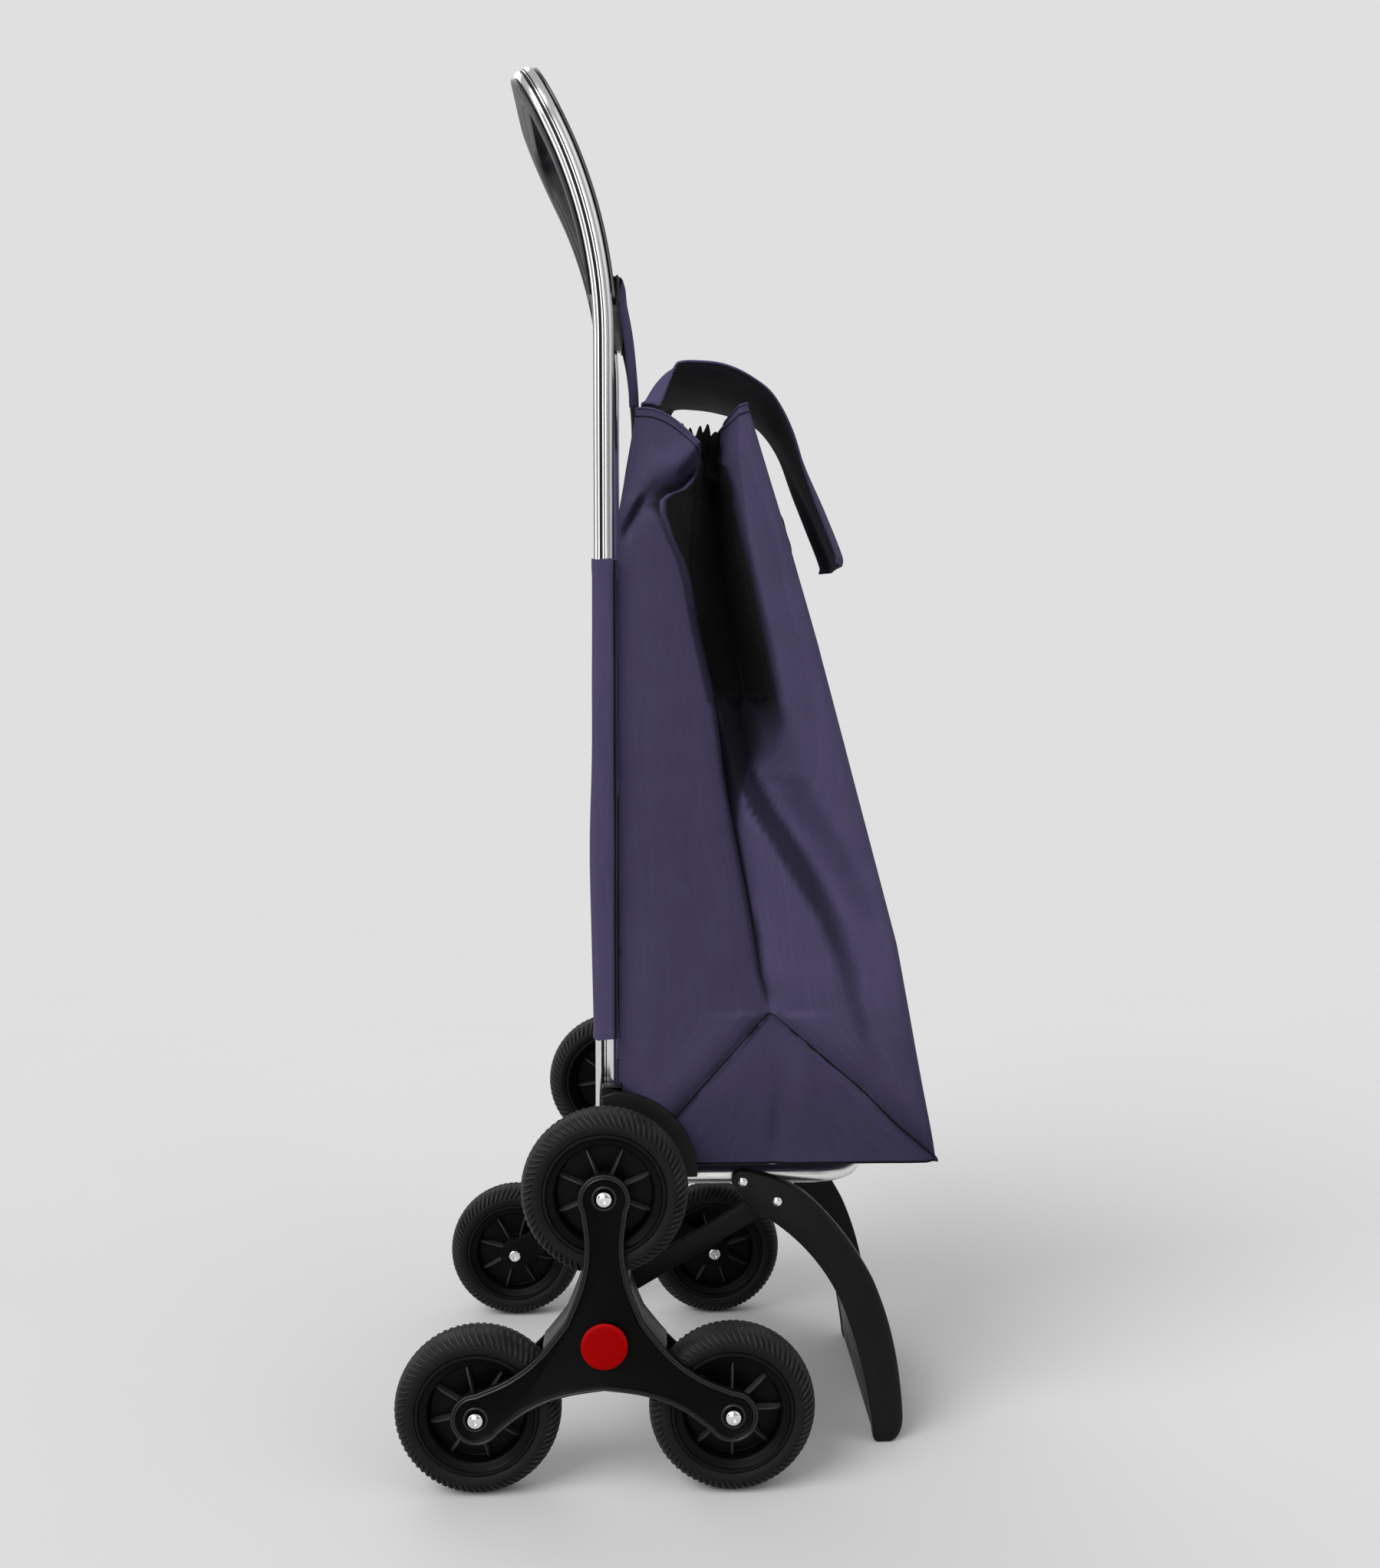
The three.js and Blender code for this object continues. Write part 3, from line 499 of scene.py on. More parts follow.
def inset_directions(outline):
    """Unit directions towards the inside of a closed outline, one to a point."""
    area = sum(x0 * z1 - x1 * z0 for (x0, z0), (x1, z1) in zip(outline, outline[1:] + outline[:1]))
    turn = 1 if area > 0 else -1
    directions = []
    count = len(outline)
    for i, (x, z) in enumerate(outline):
        before = Vector((x - outline[i - 1][0], z - outline[i - 1][1])).normalized()
        after = Vector((outline[(i + 1) % count][0] - x, outline[(i + 1) % count][1] - z)).normalized()
        along = (before + after).normalized()
        spread = max(0.5, along.dot(after))
        directions.append((-along.y * turn / spread, along.x * turn / spread))
    return directions


def arc(cx, cz, r, start, end, steps):
    """Points of an arc about (cx, cz), with its ends in degrees."""
    points = []
    for i in range(steps + 1):
        angle = math.radians(mix(start, end, i / steps))
        points.append((cx + r * math.cos(angle), cz + r * math.sin(angle)))
    return points


def curve(p0, p1, p2, steps):
    """A quadratic curve without its first point."""
    points = []
    for i in range(1, steps + 1):
        t = i / steps
        weights = ((1 - t) ** 2, 2 * t * (1 - t), t * t)
        points.append(tuple(sum(w * c for w, c in zip(weights, part)) for part in zip(p0, p1, p2)))
    return points


def swept(mesh, section, stations, mark=None):
    """Carries a section of (across, deep) along stations of (point, across, deep)."""
    rings = [[p + across * a + deep * d for a, d in section] for p, across, deep in stations]
    mesh.loft(rings, mark=mark)


def tube(mesh, line, radius, sides=10):
    """A round cord or welt along a line."""
    rings = []
    for i, point in enumerate(line):
        along = (line[min(i + 1, len(line) - 1)] - line[max(i - 1, 0)]).normalized()
        side = along.cross(Vector((0.31, 0.2, 0.93))).normalized()
        up = along.cross(side)
        ring = []
        for k in range(sides):
            angle = 2 * math.pi * k / sides
            ring.append(point + (side * math.cos(angle) + up * math.sin(angle)) * radius)
        rings.append(ring)
    mesh.loft(rings)


# ---------------------------------------------------------------- frame tube and handle

RAIL_X = -1.0
RAIL_Y = 101.0
RAIL_WIDTH = 26.0
RAIL_DEPTH = 17.0
RAIL_BOTTOM = 242.0
RAIL_ROUNDING = 5.0
RAIL_STEP = 60
BEND_Z = 936.0
BEND_R = 390.0
BEND_ANGLE = math.radians(26.5)
BEND_STEPS = 16
CORNER_R = 55.0
GRIP_START = math.radians(5.3)


def handle_stations(start, with_rails):
    """Stations along the U: up the right rail, over the handle and down the left rail."""
    right = []
    out = Vector((0, -1, 0))
    if with_rails:
        z = RAIL_BOTTOM
        while z < BEND_Z:
            right.append((Vector((RAIL_X, -RAIL_Y, z)), out, Vector((1, 0, 0))))
            z += RAIL_STEP
    for i in range(BEND_STEPS + 1):
        angle = mix(start, BEND_ANGLE, i / BEND_STEPS)
        point = Vector((RAIL_X - BEND_R * (1 - math.cos(angle)), -RAIL_Y, BEND_Z + BEND_R * math.sin(angle)))
        right.append((point, out, Vector((math.cos(angle), 0, math.sin(angle)))))
    end, _, deep = right[-1]
    slope = Vector((-math.sin(BEND_ANGLE), 0, math.cos(BEND_ANGLE)))
    for sin, cos in quarter_turn(BEND_STEPS)[1:]:
        point = end + slope * CORNER_R * sin + Vector((0, CORNER_R * (1 - cos), 0))
        right.append((point, out * cos + slope * sin, deep))
    left = []
    for point, across, deep in reversed(right):
        left.append((Vector((point.x, -point.y, point.z)), Vector((across.x, -across.y, across.z)), deep))
    return right + left


def rounded_section(width, depth, corner, steps=5):
    points = []
    for cx, cz, start in ((1, -1, -90), (1, 1, 0), (-1, 1, 90), (-1, -1, 180)):
        points += arc(cx * (width / 2 - corner), cz * (depth / 2 - corner), corner, start, start + 90, steps)
    return points


def rail_section():
    """The rounded tube with a shallow groove along its outer and inner faces."""
    points = rounded_section(RAIL_WIDTH, RAIL_DEPTH, RAIL_ROUNDING)
    depths = ((-3.6, 0), (-3.1, 1.3), (-1.3, 1.3), (-0.9, 0.4), (0.1, 0.4), (0.4, 1.0), (0.8, 1.0), (1.1, 0))
    groove = [(RAIL_WIDTH / 2 - depth, z) for z, depth in depths]
    outer = points[:6] + groove + points[6:12]
    inner = points[12:18] + [(-x, z) for x, z in reversed(groove)] + points[18:]
    return outer + inner


# The section's faces that lie in the groove, counted from the start of either half.
GROOVE_FACES = (6, 7, 8, 10, 11, 12)


def make_frame_tube():
    section = rail_section()
    half = len(section) // 2
    mesh = Mesh()
    # The groove faces take the dark metal as painted shade.
    swept(mesh, section, handle_stations(0.0, True), mark=lambda i, j: 1 if i % half in GROOVE_FACES else 0)
    mesh.piece("frame_tube_skin", "root", "polished_tube", [aluminium, groove_shade_metal], ["frame_tube"],
               sharp=30)


def make_grip():
    """The channel round the tube's front, inner and rear faces, with rounded lips."""
    tube_x, tube_y, wall, lip, rounding = 13.3, 8.8, 2.6, 9.0, 5.0
    outer_y = tube_y + wall
    section = [(lip, -tube_y), (2, -tube_y), (-tube_x + 1.5, -tube_y), (-tube_x, -tube_y + 1.5)]
    section += [(-tube_x, tube_y - 1.5), (-tube_x + 1.5, tube_y), (2, tube_y), (lip, tube_y)]
    section += [(lip + 0.9, tube_y + 0.5), (lip + 1.1, tube_y + 1.4), (lip + 0.6, outer_y - 0.3)]
    section += [(lip - 0.8, outer_y)]
    section += arc(rounding - tube_x - wall, outer_y - rounding, rounding, 90, 180, 6)
    section += arc(rounding - tube_x - wall, rounding - outer_y, rounding, 180, 270, 6)
    section += [(lip - 0.8, -outer_y), (lip + 0.6, 0.3 - outer_y), (lip + 1.1, -tube_y - 1.4)]
    section += [(lip + 0.9, -tube_y - 0.5)]
    mesh = Mesh()
    swept(mesh, section, handle_stations(GRIP_START, False))
    mesh.piece("handle_grip_skin", "root", "grip_plastic", grip_black, ["handle_grip"], sharp=40)


def make_crosspiece():
    """A bridge between the lower ends of the grip, with a bowed front plate that laps over them."""
    bottom, top, back, plate, inner, edge = 969.0, 989.0, -8.0, 9.3, 84.8, 104.0
    plan = []
    for k in range(25):
        y = mix(-edge, edge, k / 24)
        plan.append((plate + mix(2.0, 4.0, 1 - (abs(y) / edge) ** 2.2), y))
    plan += [(plate, edge), (plate, inner), (back + 1, inner), (back, inner - 1.2), (back, 40)]
    plan += [(back, -40), (back, 1.2 - inner), (back + 1, -inner), (plate, -inner), (plate, -edge)]
    inward = inset_directions(plan)
    rings = []
    lower = ((0.8, bottom), (0.25, bottom + 0.25), (0, bottom + 0.8), (0, bottom + 4), (0.5, bottom + 4.6))
    upper = ((0.5, top - 4.6), (0, top - 4), (0, top - 0.8), (0.25, top - 0.25), (0.8, top))
    for inset, z in lower + upper:
        rings.append([Vector((x + nx * inset, y + ny * inset, z)) for (x, y), (nx, ny) in zip(plan, inward)])
    mesh = Mesh()
    mesh.loft(rings)
    mesh.piece("crosspiece_skin", "root", "black_plastic", black_plastic, ["upper_crosspiece"])


make_frame_tube()
make_grip()
make_crosspiece()


# ---------------------------------------------------------------- lower brackets

def make_bracket(side_name, side):
    """The wheel guard, the stem to the axle, the boss, the foot and the four walls of the rail socket."""
    mesh = Mesh()
    guard = [(-4, 240), (-4, 309)] + arc(4.7, 241.5, 71.4, 88, 0, 30) + [(75.6, 240)]
    mesh.slab(guard, side * 132, side * 125, 1.6)
    stem = [(-15, 245)] + arc(0, AXLE_Z, 15, 180, 360, 20) + [(15, 245)]
    mesh.slab(stem, side * 131, side * 120, 1.6)
    boss = [(-4, 232), (13, 232), (13, 316)] + arc(11, 315, 2, 0, 90, 3) + arc(-2, 315, 2, 90, 180, 3)
    mesh.slab(boss, side * 130.2, side * 114.8, 1.0)
    foot = [(-16.5, 206), (-14.5, 204), (4, 204), (6, 206), (6, 240), (-16.5, 240)]
    mesh.slab(foot, side * 125, side * 94, 1.2)
    walls = (
        (-12.8, -9.9, 84.7, 118.3), (7.9, 10, 84.7, 118.3), (-12.8, 10, 114.4, 118.3), (-12.8, 10, 84.7, 87.6),
    )
    for x0, x1, y0, y1 in walls:
        rings = []
        for inset, z in ((0.8, 236.0), (0, 237.0), (0, 285.0), (0.7, 286.0)):
            low_x, high_x, low_y, high_y = x0 + inset, x1 - inset, y0 + inset, y1 - inset
            corners = ((low_x, low_y), (high_x, low_y), (high_x, high_y), (low_x, high_y))
            rings.append([Vector((x, side * y, z)) for x, y in corners])
        mesh.loft(rings)
    mesh.piece(f"bracket_skin_{side_name}", "root", "black_plastic", black_plastic,
               [f"lower_bracket_{side_name}"])


# ---------------------------------------------------------------- stars

STAR_EDGE_REACH = 36.7
DRUM_R = 50.5


def turned_about_axle(points, turn):
    """Turns points, given from the axle, by that angle and sets them at the axle's height."""
    cos, sin = math.cos(turn), math.sin(turn)
    return [(u * cos - v * sin, AXLE_Z + u * sin + v * cos) for u, v in points]


def star_outline(lobe, neck_width, edge_reach, steps=9):
    """One closed line round the three arms: round lobes, slim necks and hollow edges between them."""
    points = []
    for arm in range(3):
        turn = math.pi / 2 + arm * 2 * math.pi / 3
        half = []
        for i in range(steps * 2 + 1):
            angle = mix(-2.05, 2.05, i / (steps * 2))
            half.append((STAR_R - 1 + lobe * math.cos(angle), lobe * math.sin(angle)))
        tail_u, tail_v = half[-1]
        hip = neck_width + 10.4 - (STAR_EDGE_REACH - edge_reach) * 0.4
        line = spline([
            (tail_u, tail_v, 0), (90, neck_width + 0.6, 0), (78, neck_width, 0), (62, neck_width + 1.4, 0),
            (46, neck_width + 5.2, 0), (32, hip, 0),
            (edge_reach * math.cos(math.pi / 3), edge_reach * math.sin(math.pi / 3), 0),
        ], 5)[1:]
        flank = [(p.x, p.y) for p in line]
        whole = [(u, -v) for u, v in reversed(flank[:-1])] + half + flank
        points += turned_about_axle(whole, turn)
    return points


def make_star(side_name, side):
    """The outer plate with its beaded rim and drum, the inner plate and the red cap."""
    outline = star_outline(21, 15.6, STAR_EDGE_REACH)
    inward = inset_directions(outline)
    rings = []
    levels = (
        (0.6, 197.0), (0.0, 197.6), (0.0, 200.6), (0.4, 201.7), (1.1, 202.0), (1.7, 201.8), (2.2, 201.2),
        (2.7, 201.2), (3.2, 201.8), (3.8, 202.0), (4.4, 201.6), (5.0, 200.6), (5.6, 200.2),
    )
    for inset, y in levels:
        ring = []
        for (x, z), (nx, nz) in zip(outline, inward):
            ring.append(Vector((x + nx * inset, side * y, z + nz * inset)))
        rings.append(ring)
    plate = Mesh()
    # The bead rim's rings take the painted highlight plastic, as do the drum and the bolt seats.
    plate.loft(rings, mark=lambda i, j: 1 if 3 <= j <= 8 else 0)
    body = []
    for k in range(120):
        angle = 2 * math.pi * k / 120
        limit = min(star_reach(outline, angle) - 0.8, DRUM_R)
        body.append((limit * math.cos(angle), AXLE_Z + limit * math.sin(angle)))
    plate.slab(body, side * 199.5, side * 159.6, 0.6, mark=1)
    bolt_seat = ((8.0, 200.0), (8.3, 200.7), (9.0, 201.0), (9.8, 200.7), (10.2, 200.0))
    for arm in ARMS.values():
        x = STAR_R * math.cos(math.radians(arm))
        z = AXLE_Z + STAR_R * math.sin(math.radians(arm))
        plate.turned([(r, side * y) for r, y in bolt_seat], x, z, 40, closed=True, mark=1)
    star = f"star_{side_name}"
    plate.piece(f"star_skin_{side_name}", star, "star_plastic", [star_black, star_painted_highlight],
                [f"star_outer_{side_name}"], sharp=50)
    inner = Mesh()
    inner.slab(star_outline(16, 12.6, 27.5), side * 154, side * 159, 1.2)
    inner.piece(f"star_inner_skin_{side_name}", star, "star_plastic", star_black, [f"star_inner_{side_name}"])
    face = ((0, 204.3), (15.5, 204.4), (17.6, 204.2), (18.5, 203.6), (18.7, 202.8))
    flank = ((18.7, 202.0), (17.5, 200.4), (0, 200.3))
    cap = Mesh()
    cap.turned([(r, side * y) for r, y in face + flank], 0, AXLE_Z, 64)
    cap.piece(f"hub_cap_skin_{side_name}", star, "red_cap", cap_red, [f"hub_cap_{side_name}"])


def star_reach(outline, angle):
    """How far the outline lies from the axle at that angle."""
    best = 0.0
    dx, dz = math.cos(angle), math.sin(angle)
    for (x0, z0), (x1, z1) in zip(outline, outline[1:] + outline[:1]):
        z0, z1 = z0 - AXLE_Z, z1 - AXLE_Z
        across0, across1 = dx * z0 - dz * x0, dx * z1 - dz * x1
        if (across0 <= 0) == (across1 <= 0):
            continue
        t = across0 / (across0 - across1)
        along = mix(dx * x0 + dz * z0, dx * x1 + dz * z1, t)
        best = max(best, along)
    return best


# ---------------------------------------------------------------- wheels

WHEEL_MIDDLE_Y = 178.0
LUGS = 74
# Where the points of a lug lie, as shares of its pitch; the last two are the bottom of the cut beside it.
LUG_STEPS = (0.0, 0.34, 0.44, 0.9)
LUG_CUT = 2.4
RIBS = 8


def tyre_mesh(x, z, middle, side):
    """A rounded tyre with slanted lugs on both shoulders, and how dusty each of its points is."""
    # Radius, half width, depth of the cut and dust, from the bead to the crown.
    half = [
        (50, 16.2, 0, 0), (51.5, 17.2, 0, 0), (54, 17.9, 0, 0), (56.4, 18, 0, 0), (57.4, 17.6, 0, 0.2),
        (57.9, 17.5, 1, 0.5), (59.6, 17.0, 1, 0.8), (61.6, 15.9, 1, 1), (63.4, 14.2, 0.9, 1),
        (64.9, 12.0, 0.55, 1), (66.2, 9.0, 0.35, 1), (67.0, 5.6, 0.25, 1), (67.4, 2.0, 0.2, 1),
    ]
    profile = [(r, -w, depth, tread, -1) for r, w, depth, tread in half]
    profile += [(r, w, depth, tread, 1) for r, w, depth, tread in reversed(half)]
    mesh = Mesh()
    values = []
    rings = []
    for r, w, depth, tread, face in profile:
        ring = []
        slant = face * (r - 62) * 0.011
        for lug in range(LUGS):
            for k, part in enumerate(LUG_STEPS):
                angle = 2 * math.pi * (lug + part) / LUGS + slant
                cut = LUG_CUT * depth if k in (2, 3) else 0.0
                reach = r - cut * 0.75
                y = middle + side * (w - math.copysign(cut * 0.5, w))
                ring.append(Vector((x + reach * math.cos(angle), y, z + reach * math.sin(angle))))
                values.append(tread * (0.35 if k in (2, 3) and depth > 0.5 else 1.0))
        rings.append(ring)
    rings.append(rings[0])
    values += values[:len(rings[0])]
    mesh.loft(rings, capped=False)
    return mesh, values


def dome(radius, seat, side, height, fall, angles):
    """Profile points of a domed head on its seat: how high it stands and how far its edge falls."""
    points = []
    for degrees in angles:
        angle = math.radians(degrees)
        points.append((radius * math.sin(angle), seat + side * (height - fall * (1 - math.cos(angle)))))
    return points


def make_wheel(arm, angle, side_name, side, turn):
    """A tyre, a rim with eight ribs on both faces of its web, and the bolt that carries them on the star."""
    x = STAR_R * math.cos(math.radians(angle))
    z = AXLE_Z + STAR_R * math.sin(math.radians(angle))
    middle = side * WHEEL_MIDDLE_Y
    name = f"{arm}_{side_name}"
    body = f"wheel_{name}"
    mesh, values = tyre_mesh(x, z, middle, side)
    mesh.piece(f"tyre_skin_{name}", body, "tyre_rubber", tyre_black, [f"tyre_{name}"], sharp=35,
               values={"tread": values})
    hub = Mesh()
    half = [
        (49.8, 12), (49.8, 15.6), (49.2, 16.6), (48.0, 17.0), (46.8, 16.6), (46.2, 15.4), (45.2, 14.6),
        (41.5, 13.8), (40.3, 13.0), (39.6, 11.5), (38.8, 2.4), (37.8, 1.6), (15.4, 1.6), (14.6, 2.4),
        (14.0, 11.8), (13.2, 12.8), (4.3, 12.8),
    ]
    profile = [(r, middle + side * w) for r, w in half] + [(r, middle - side * w) for r, w in reversed(half)]
    hub.turned(profile, x, z, 72, closed=True)
    for k in range(RIBS):
        rib = math.radians(turn + k * 360 / RIBS)
        along = Vector((math.cos(rib), 0, math.sin(rib)))
        across = Vector((-math.sin(rib), 0, math.cos(rib)))
        for face in (-1, 1):
            rings = []
            for reach, top in ((13.5, 9.6), (20, 9.8), (32, 9.0), (37.5, 7.6), (39.4, 6.4)):
                base = Vector((x, middle, z)) + along * reach
                left = ((-1.2, 1.0), (-0.95, top - 0.6), (-0.5, top))
                right = ((0.5, top), (0.95, top - 0.6), (1.2, 1.0))
                section = [across * wide + Vector((0, face * high, 0)) for wide, high in left + right]
                rings.append([base + offset for offset in section])
            hub.loft(rings, mark=lambda i, j: 1)
    hub.piece(f"wheel_hub_skin_{name}", body, "black_plastic", [rim_black, rib_black], [f"wheel_hub_{name}"])
    bolt = Mesh()
    seat = side * 202.3
    profile = [(0, seat + side * 1.0), (1.9, seat + side * 1.1), (2.3, seat + side * 2.3)]
    profile += dome(6.3, seat, side, 2.7, 2.4, (25, 38, 52, 66, 78, 90))
    profile += [(6.2, seat), (4, seat)]
    sleeve_nut = (
        (4, 153.7), (5.4, 153.7), (5.6, 153.4), (5.6, 151.6), (5.1, 151.1), (2.6, 151.0),
        (2.3, 152.4), (0, 152.4),
    )
    profile += [(r, side * y) for r, y in sleeve_nut]
    bolt.turned(profile, x, z, 36)
    bolt.piece(f"wheel_bolt_skin_{name}", f"star_{side_name}", "bright_steel", chrome, [f"wheel_bolt_{name}"])


# How far each wheel has turned, in degrees.
RIB_TURNS = {
    "top_right": 22.5, "rear_right": 13, "front_right": 0,
    "top_left": 8, "rear_left": 30, "front_left": 17,
}
for side_name, side in SIDES.items():
    make_bracket(side_name, side)
    make_star(side_name, side)
    for arm, angle in ARMS.items():
        make_wheel(arm, angle, side_name, side, RIB_TURNS[f"{arm}_{side_name}"])


# ---------------------------------------------------------------- platform, leg and struts

PLATFORM_Y = 85.0
PLATFORM_Z = 228.0
PLATFORM_R = 8.0
PLATFORM_SIDES = 28
# Where the leg hangs on the platform and the struts meet the leg, as x and z.
RIVET_LEG = (115.3, 229.5)
RIVET_STRUT = (144.8, 212.2)


def make_platform():
    """A tube bent into a U, open towards the hinges."""
    corner_x, corner_y, corner_r = 174.0, 43.0, 42.0
    right = []
    for x in (14, 16, 60, 110, 150):
        right.append((Vector((x, -PLATFORM_Y, PLATFORM_Z)), Vector((0, -1, 0))))
    for sin, cos in quarter_turn(16):
        point = Vector((corner_x + corner_r * sin, -corner_y - corner_r * cos, PLATFORM_Z))
        right.append((point, Vector((sin, -cos, 0))))
    stations = right + [(Vector((p.x, -p.y, p.z)), Vector((n.x, -n.y, n.z))) for p, n in reversed(right)]
    rings = []
    for point, out in stations:
        ring = []
        for k in range(PLATFORM_SIDES):
            angle = 2 * math.pi * k / PLATFORM_SIDES
            rise = Vector((0, 0, PLATFORM_R * math.sin(angle)))
            ring.append(point + out * PLATFORM_R * math.cos(angle) + rise)
        rings.append(ring)
    mesh = Mesh()
    mesh.loft(rings)
    mesh.piece("platform_loop_skin", "platform", "polished_tube", brushed, ["platform_loop"])


def leg_outline():
    """The side view of the leg's curved bar, and where its front edge starts and ends among the points."""
    points = arc(*RIVET_LEG, 9.5, 216, 76, 12)
    front_start = len(points)
    points += curve((117.7, 238.7), (152, 231), (170, 217), 10)
    points += curve((170, 217), (205, 186), (228, 141), 14)
    points += curve((228, 141), (250, 92), (254, 24), 16)
    points += curve((254, 24), (255, 0), (240, 0), 10)
    front_end = len(points) - 4
    points.append((232, 0))
    points += curve((232, 0), (228, 0), (228, 8), 6)
    points += curve((228, 8), (221, 70), (201, 121), 14)
    points += curve((201, 121), (180, 168), (138, 196), 14)
    points += [(128, 201), (117, 212)]
    return points, front_start, front_end


def make_rivet(name, place, end_y, side_name, side):
    """A rivet through the leg, with a domed head outside."""
    seat = side * 112.3
    end = side * end_y
    profile = [(0, seat + side * 2.2)] + dome(4.2, seat, side, 2.2, 1.9, (15, 32, 50, 70, 90))
    profile += [(4.1, seat), (2.6, seat), (2.6, end), (0, end)]
    head = Mesh()
    head.turned(profile, *place, 28)
    head.piece(f"{name}_skin_{side_name}", "leg", "bright_steel", chrome, [f"{name}_{side_name}"])


def make_rivet_boss(side_name, side):
    """The raised ring round the rivet to the platform."""
    profile = ((5.2, 111.6), (5.4, 112.4), (6.2, 112.7), (7.6, 112.6), (8.2, 112.0), (8.3, 111.6))
    boss = Mesh()
    boss.turned([(r, side * y) for r, y in profile], *RIVET_LEG, 32, closed=True)
    boss.piece(f"leg_boss_{side_name}", "leg", "black_plastic", black_plastic)


def make_leg():
    """Two curved bars with a broadly rounded front edge, and the panel between them."""
    outline, first, last = leg_outline()
    widths = []
    for i in range(len(outline)):
        share = smoothstep(i, first + 6, first + 16) * (1 - smoothstep(i, last - 4, last + 2))
        widths.append(mix(1.0, 4.6, share))
    mesh = Mesh()
    for side in (-1, 1):
        mesh.slab(outline, side * 112, side * 99.5, 1.7, widths=widths, edge_depth=3.2, steps=4)
    panel = curve((207, 105), (223, 60), (229, 8), 12) + curve((229, 8), (229, 1), (233, 0.6), 5)
    panel += [(241, 0.6), (242, 11)] + curve((242, 12), (233, 66), (214, 108), 12)
    mesh.slab(panel, -101, 101, 0.8)
    mesh.piece("front_leg_skin", "leg", "black_plastic", black_plastic, ["front_leg"])
    for side_name, side in SIDES.items():
        make_rivet("leg_rivet", RIVET_LEG, 78, side_name, side)
        make_rivet_boss(side_name, side)
    for side_name, side in SIDES.items():
        make_rivet("strut_rivet", RIVET_STRUT, 99.5, side_name, side)


def make_strut(side_name, side):
    """A flat bar with rounded edges from the axle to the leg's second rivet."""
    dx, dz = RIVET_STRUT[0], RIVET_STRUT[1] - AXLE_Z
    length = math.hypot(dx, dz)
    bar = arc(length, 0, 9, -90, 90, 14) + arc(0, 0, 12, 48.6, 311.4, 26)
    mesh = Mesh()
    mesh.slab(turned_about_axle(bar, math.atan2(dz, dx)), side * 98.5, side * 93.5, 1.2)
    mesh.piece(f"strut_skin_{side_name}", "struts", "black_plastic", black_plastic, [f"strut_{side_name}"])


make_platform()
make_leg()
for side_name, side in SIDES.items():
    make_strut(side_name, side)


# ---------------------------------------------------------------- bag

BAG_HALF = 119.5
BAG_BOTTOM = 247.0
HEM_BACK_Z = 881.0
V_Z = 377.0
FRONT_LINE = ((247.0, 281.0), (432.0, 246.0), (685.0, 178.0), (885.0, 119.5))
# The fold edge of the back half, from its bottom corner up through the point of the V to the hem.
BACK_FOLD = (
    (247, 20), (287, 57.2), (332, 97), (376.5, 137.0), (393, 133), (410, 127.5), (442, 122.7),
    (489, 114), (532, 105.3), (575, 97.5), (626, 90.9), (665, 82.3), (692, 75.4), (709, 71.8),
    (734, 67.5), (755, 61), (772, 52.5), (792, 46), (803, 46), (808, 52), (812, 64), (822, 73.5),
    (835, 78), (847, 79.8),
)
# The fold edge of the front half, from the bottom front corner to the hem.
FRONT_FOLD = (
    (247, 281), (251, 278.9), (279, 246.2), (311.5, 213.7), (376.5, 137.6), (393, 134.5),
    (410, 129.8), (442, 125.8), (489, 118.5), (532, 112), (555, 116), (575, 132), (597, 150),
    (620, 153), (650, 148), (684, 141.2), (730, 130.8), (760, 123.9), (794, 116.9), (819, 110.1),
    (838, 103.8), (843, 98), (848, 94), (855, 91.8), (862, 92.8), (868, 95.8), (874, 100.5),
)
HOLLOW_LINE = (
    (319, 250.5), (337, 244), (354, 235), (376, 228), (416, 219), (454, 206), (489, 186),
    (517, 168), (546, 147), (575, 130), (600, 124), (650, 118), (700, 108), (760, 96), (840, 91),
)
HOLLOW_DEPTH = (
    (300, 0.0), (340, 3.5), (400, 9), (454, 13), (517, 20), (560, 28), (600, 42), (650, 58),
    (700, 70), (850, 74),
)
HOLLOW_RIGHT = (
    (300, 14), (350, 18), (416, 26), (489, 32), (546, 38), (600, 38), (650, 30), (840, 20),
)
HOLLOW_LEFT = (
    (300, 20), (416, 30), (489, 34), (546, 30), (575, 24), (600, 24), (650, 30), (700, 34),
    (840, 14),
)
LOBE_EDGE = ((10, 782), (19, 789), (31, 808), (41, 815), (59, 820), (73, 831), (80, 841))
TUCK_DEPTH = ((377, 0.0), (392, 3.5), (442, 8), (500, 12), (560, 16), (620, 22), (680, 30))


def half_width(x, z):
    """The bag's half width before its folds: chamfered at the rear and drawn in towards the mouth."""
    rear = 10.0 * (1 - smoothstep(x, 12, 42))
    mouth = 13.0 * smoothstep(z, 770, 885)
    return BAG_HALF - rear - mouth


def crumple(x, z, size, seed):
    return noise.noise(Vector((x / size, z / size, seed)))


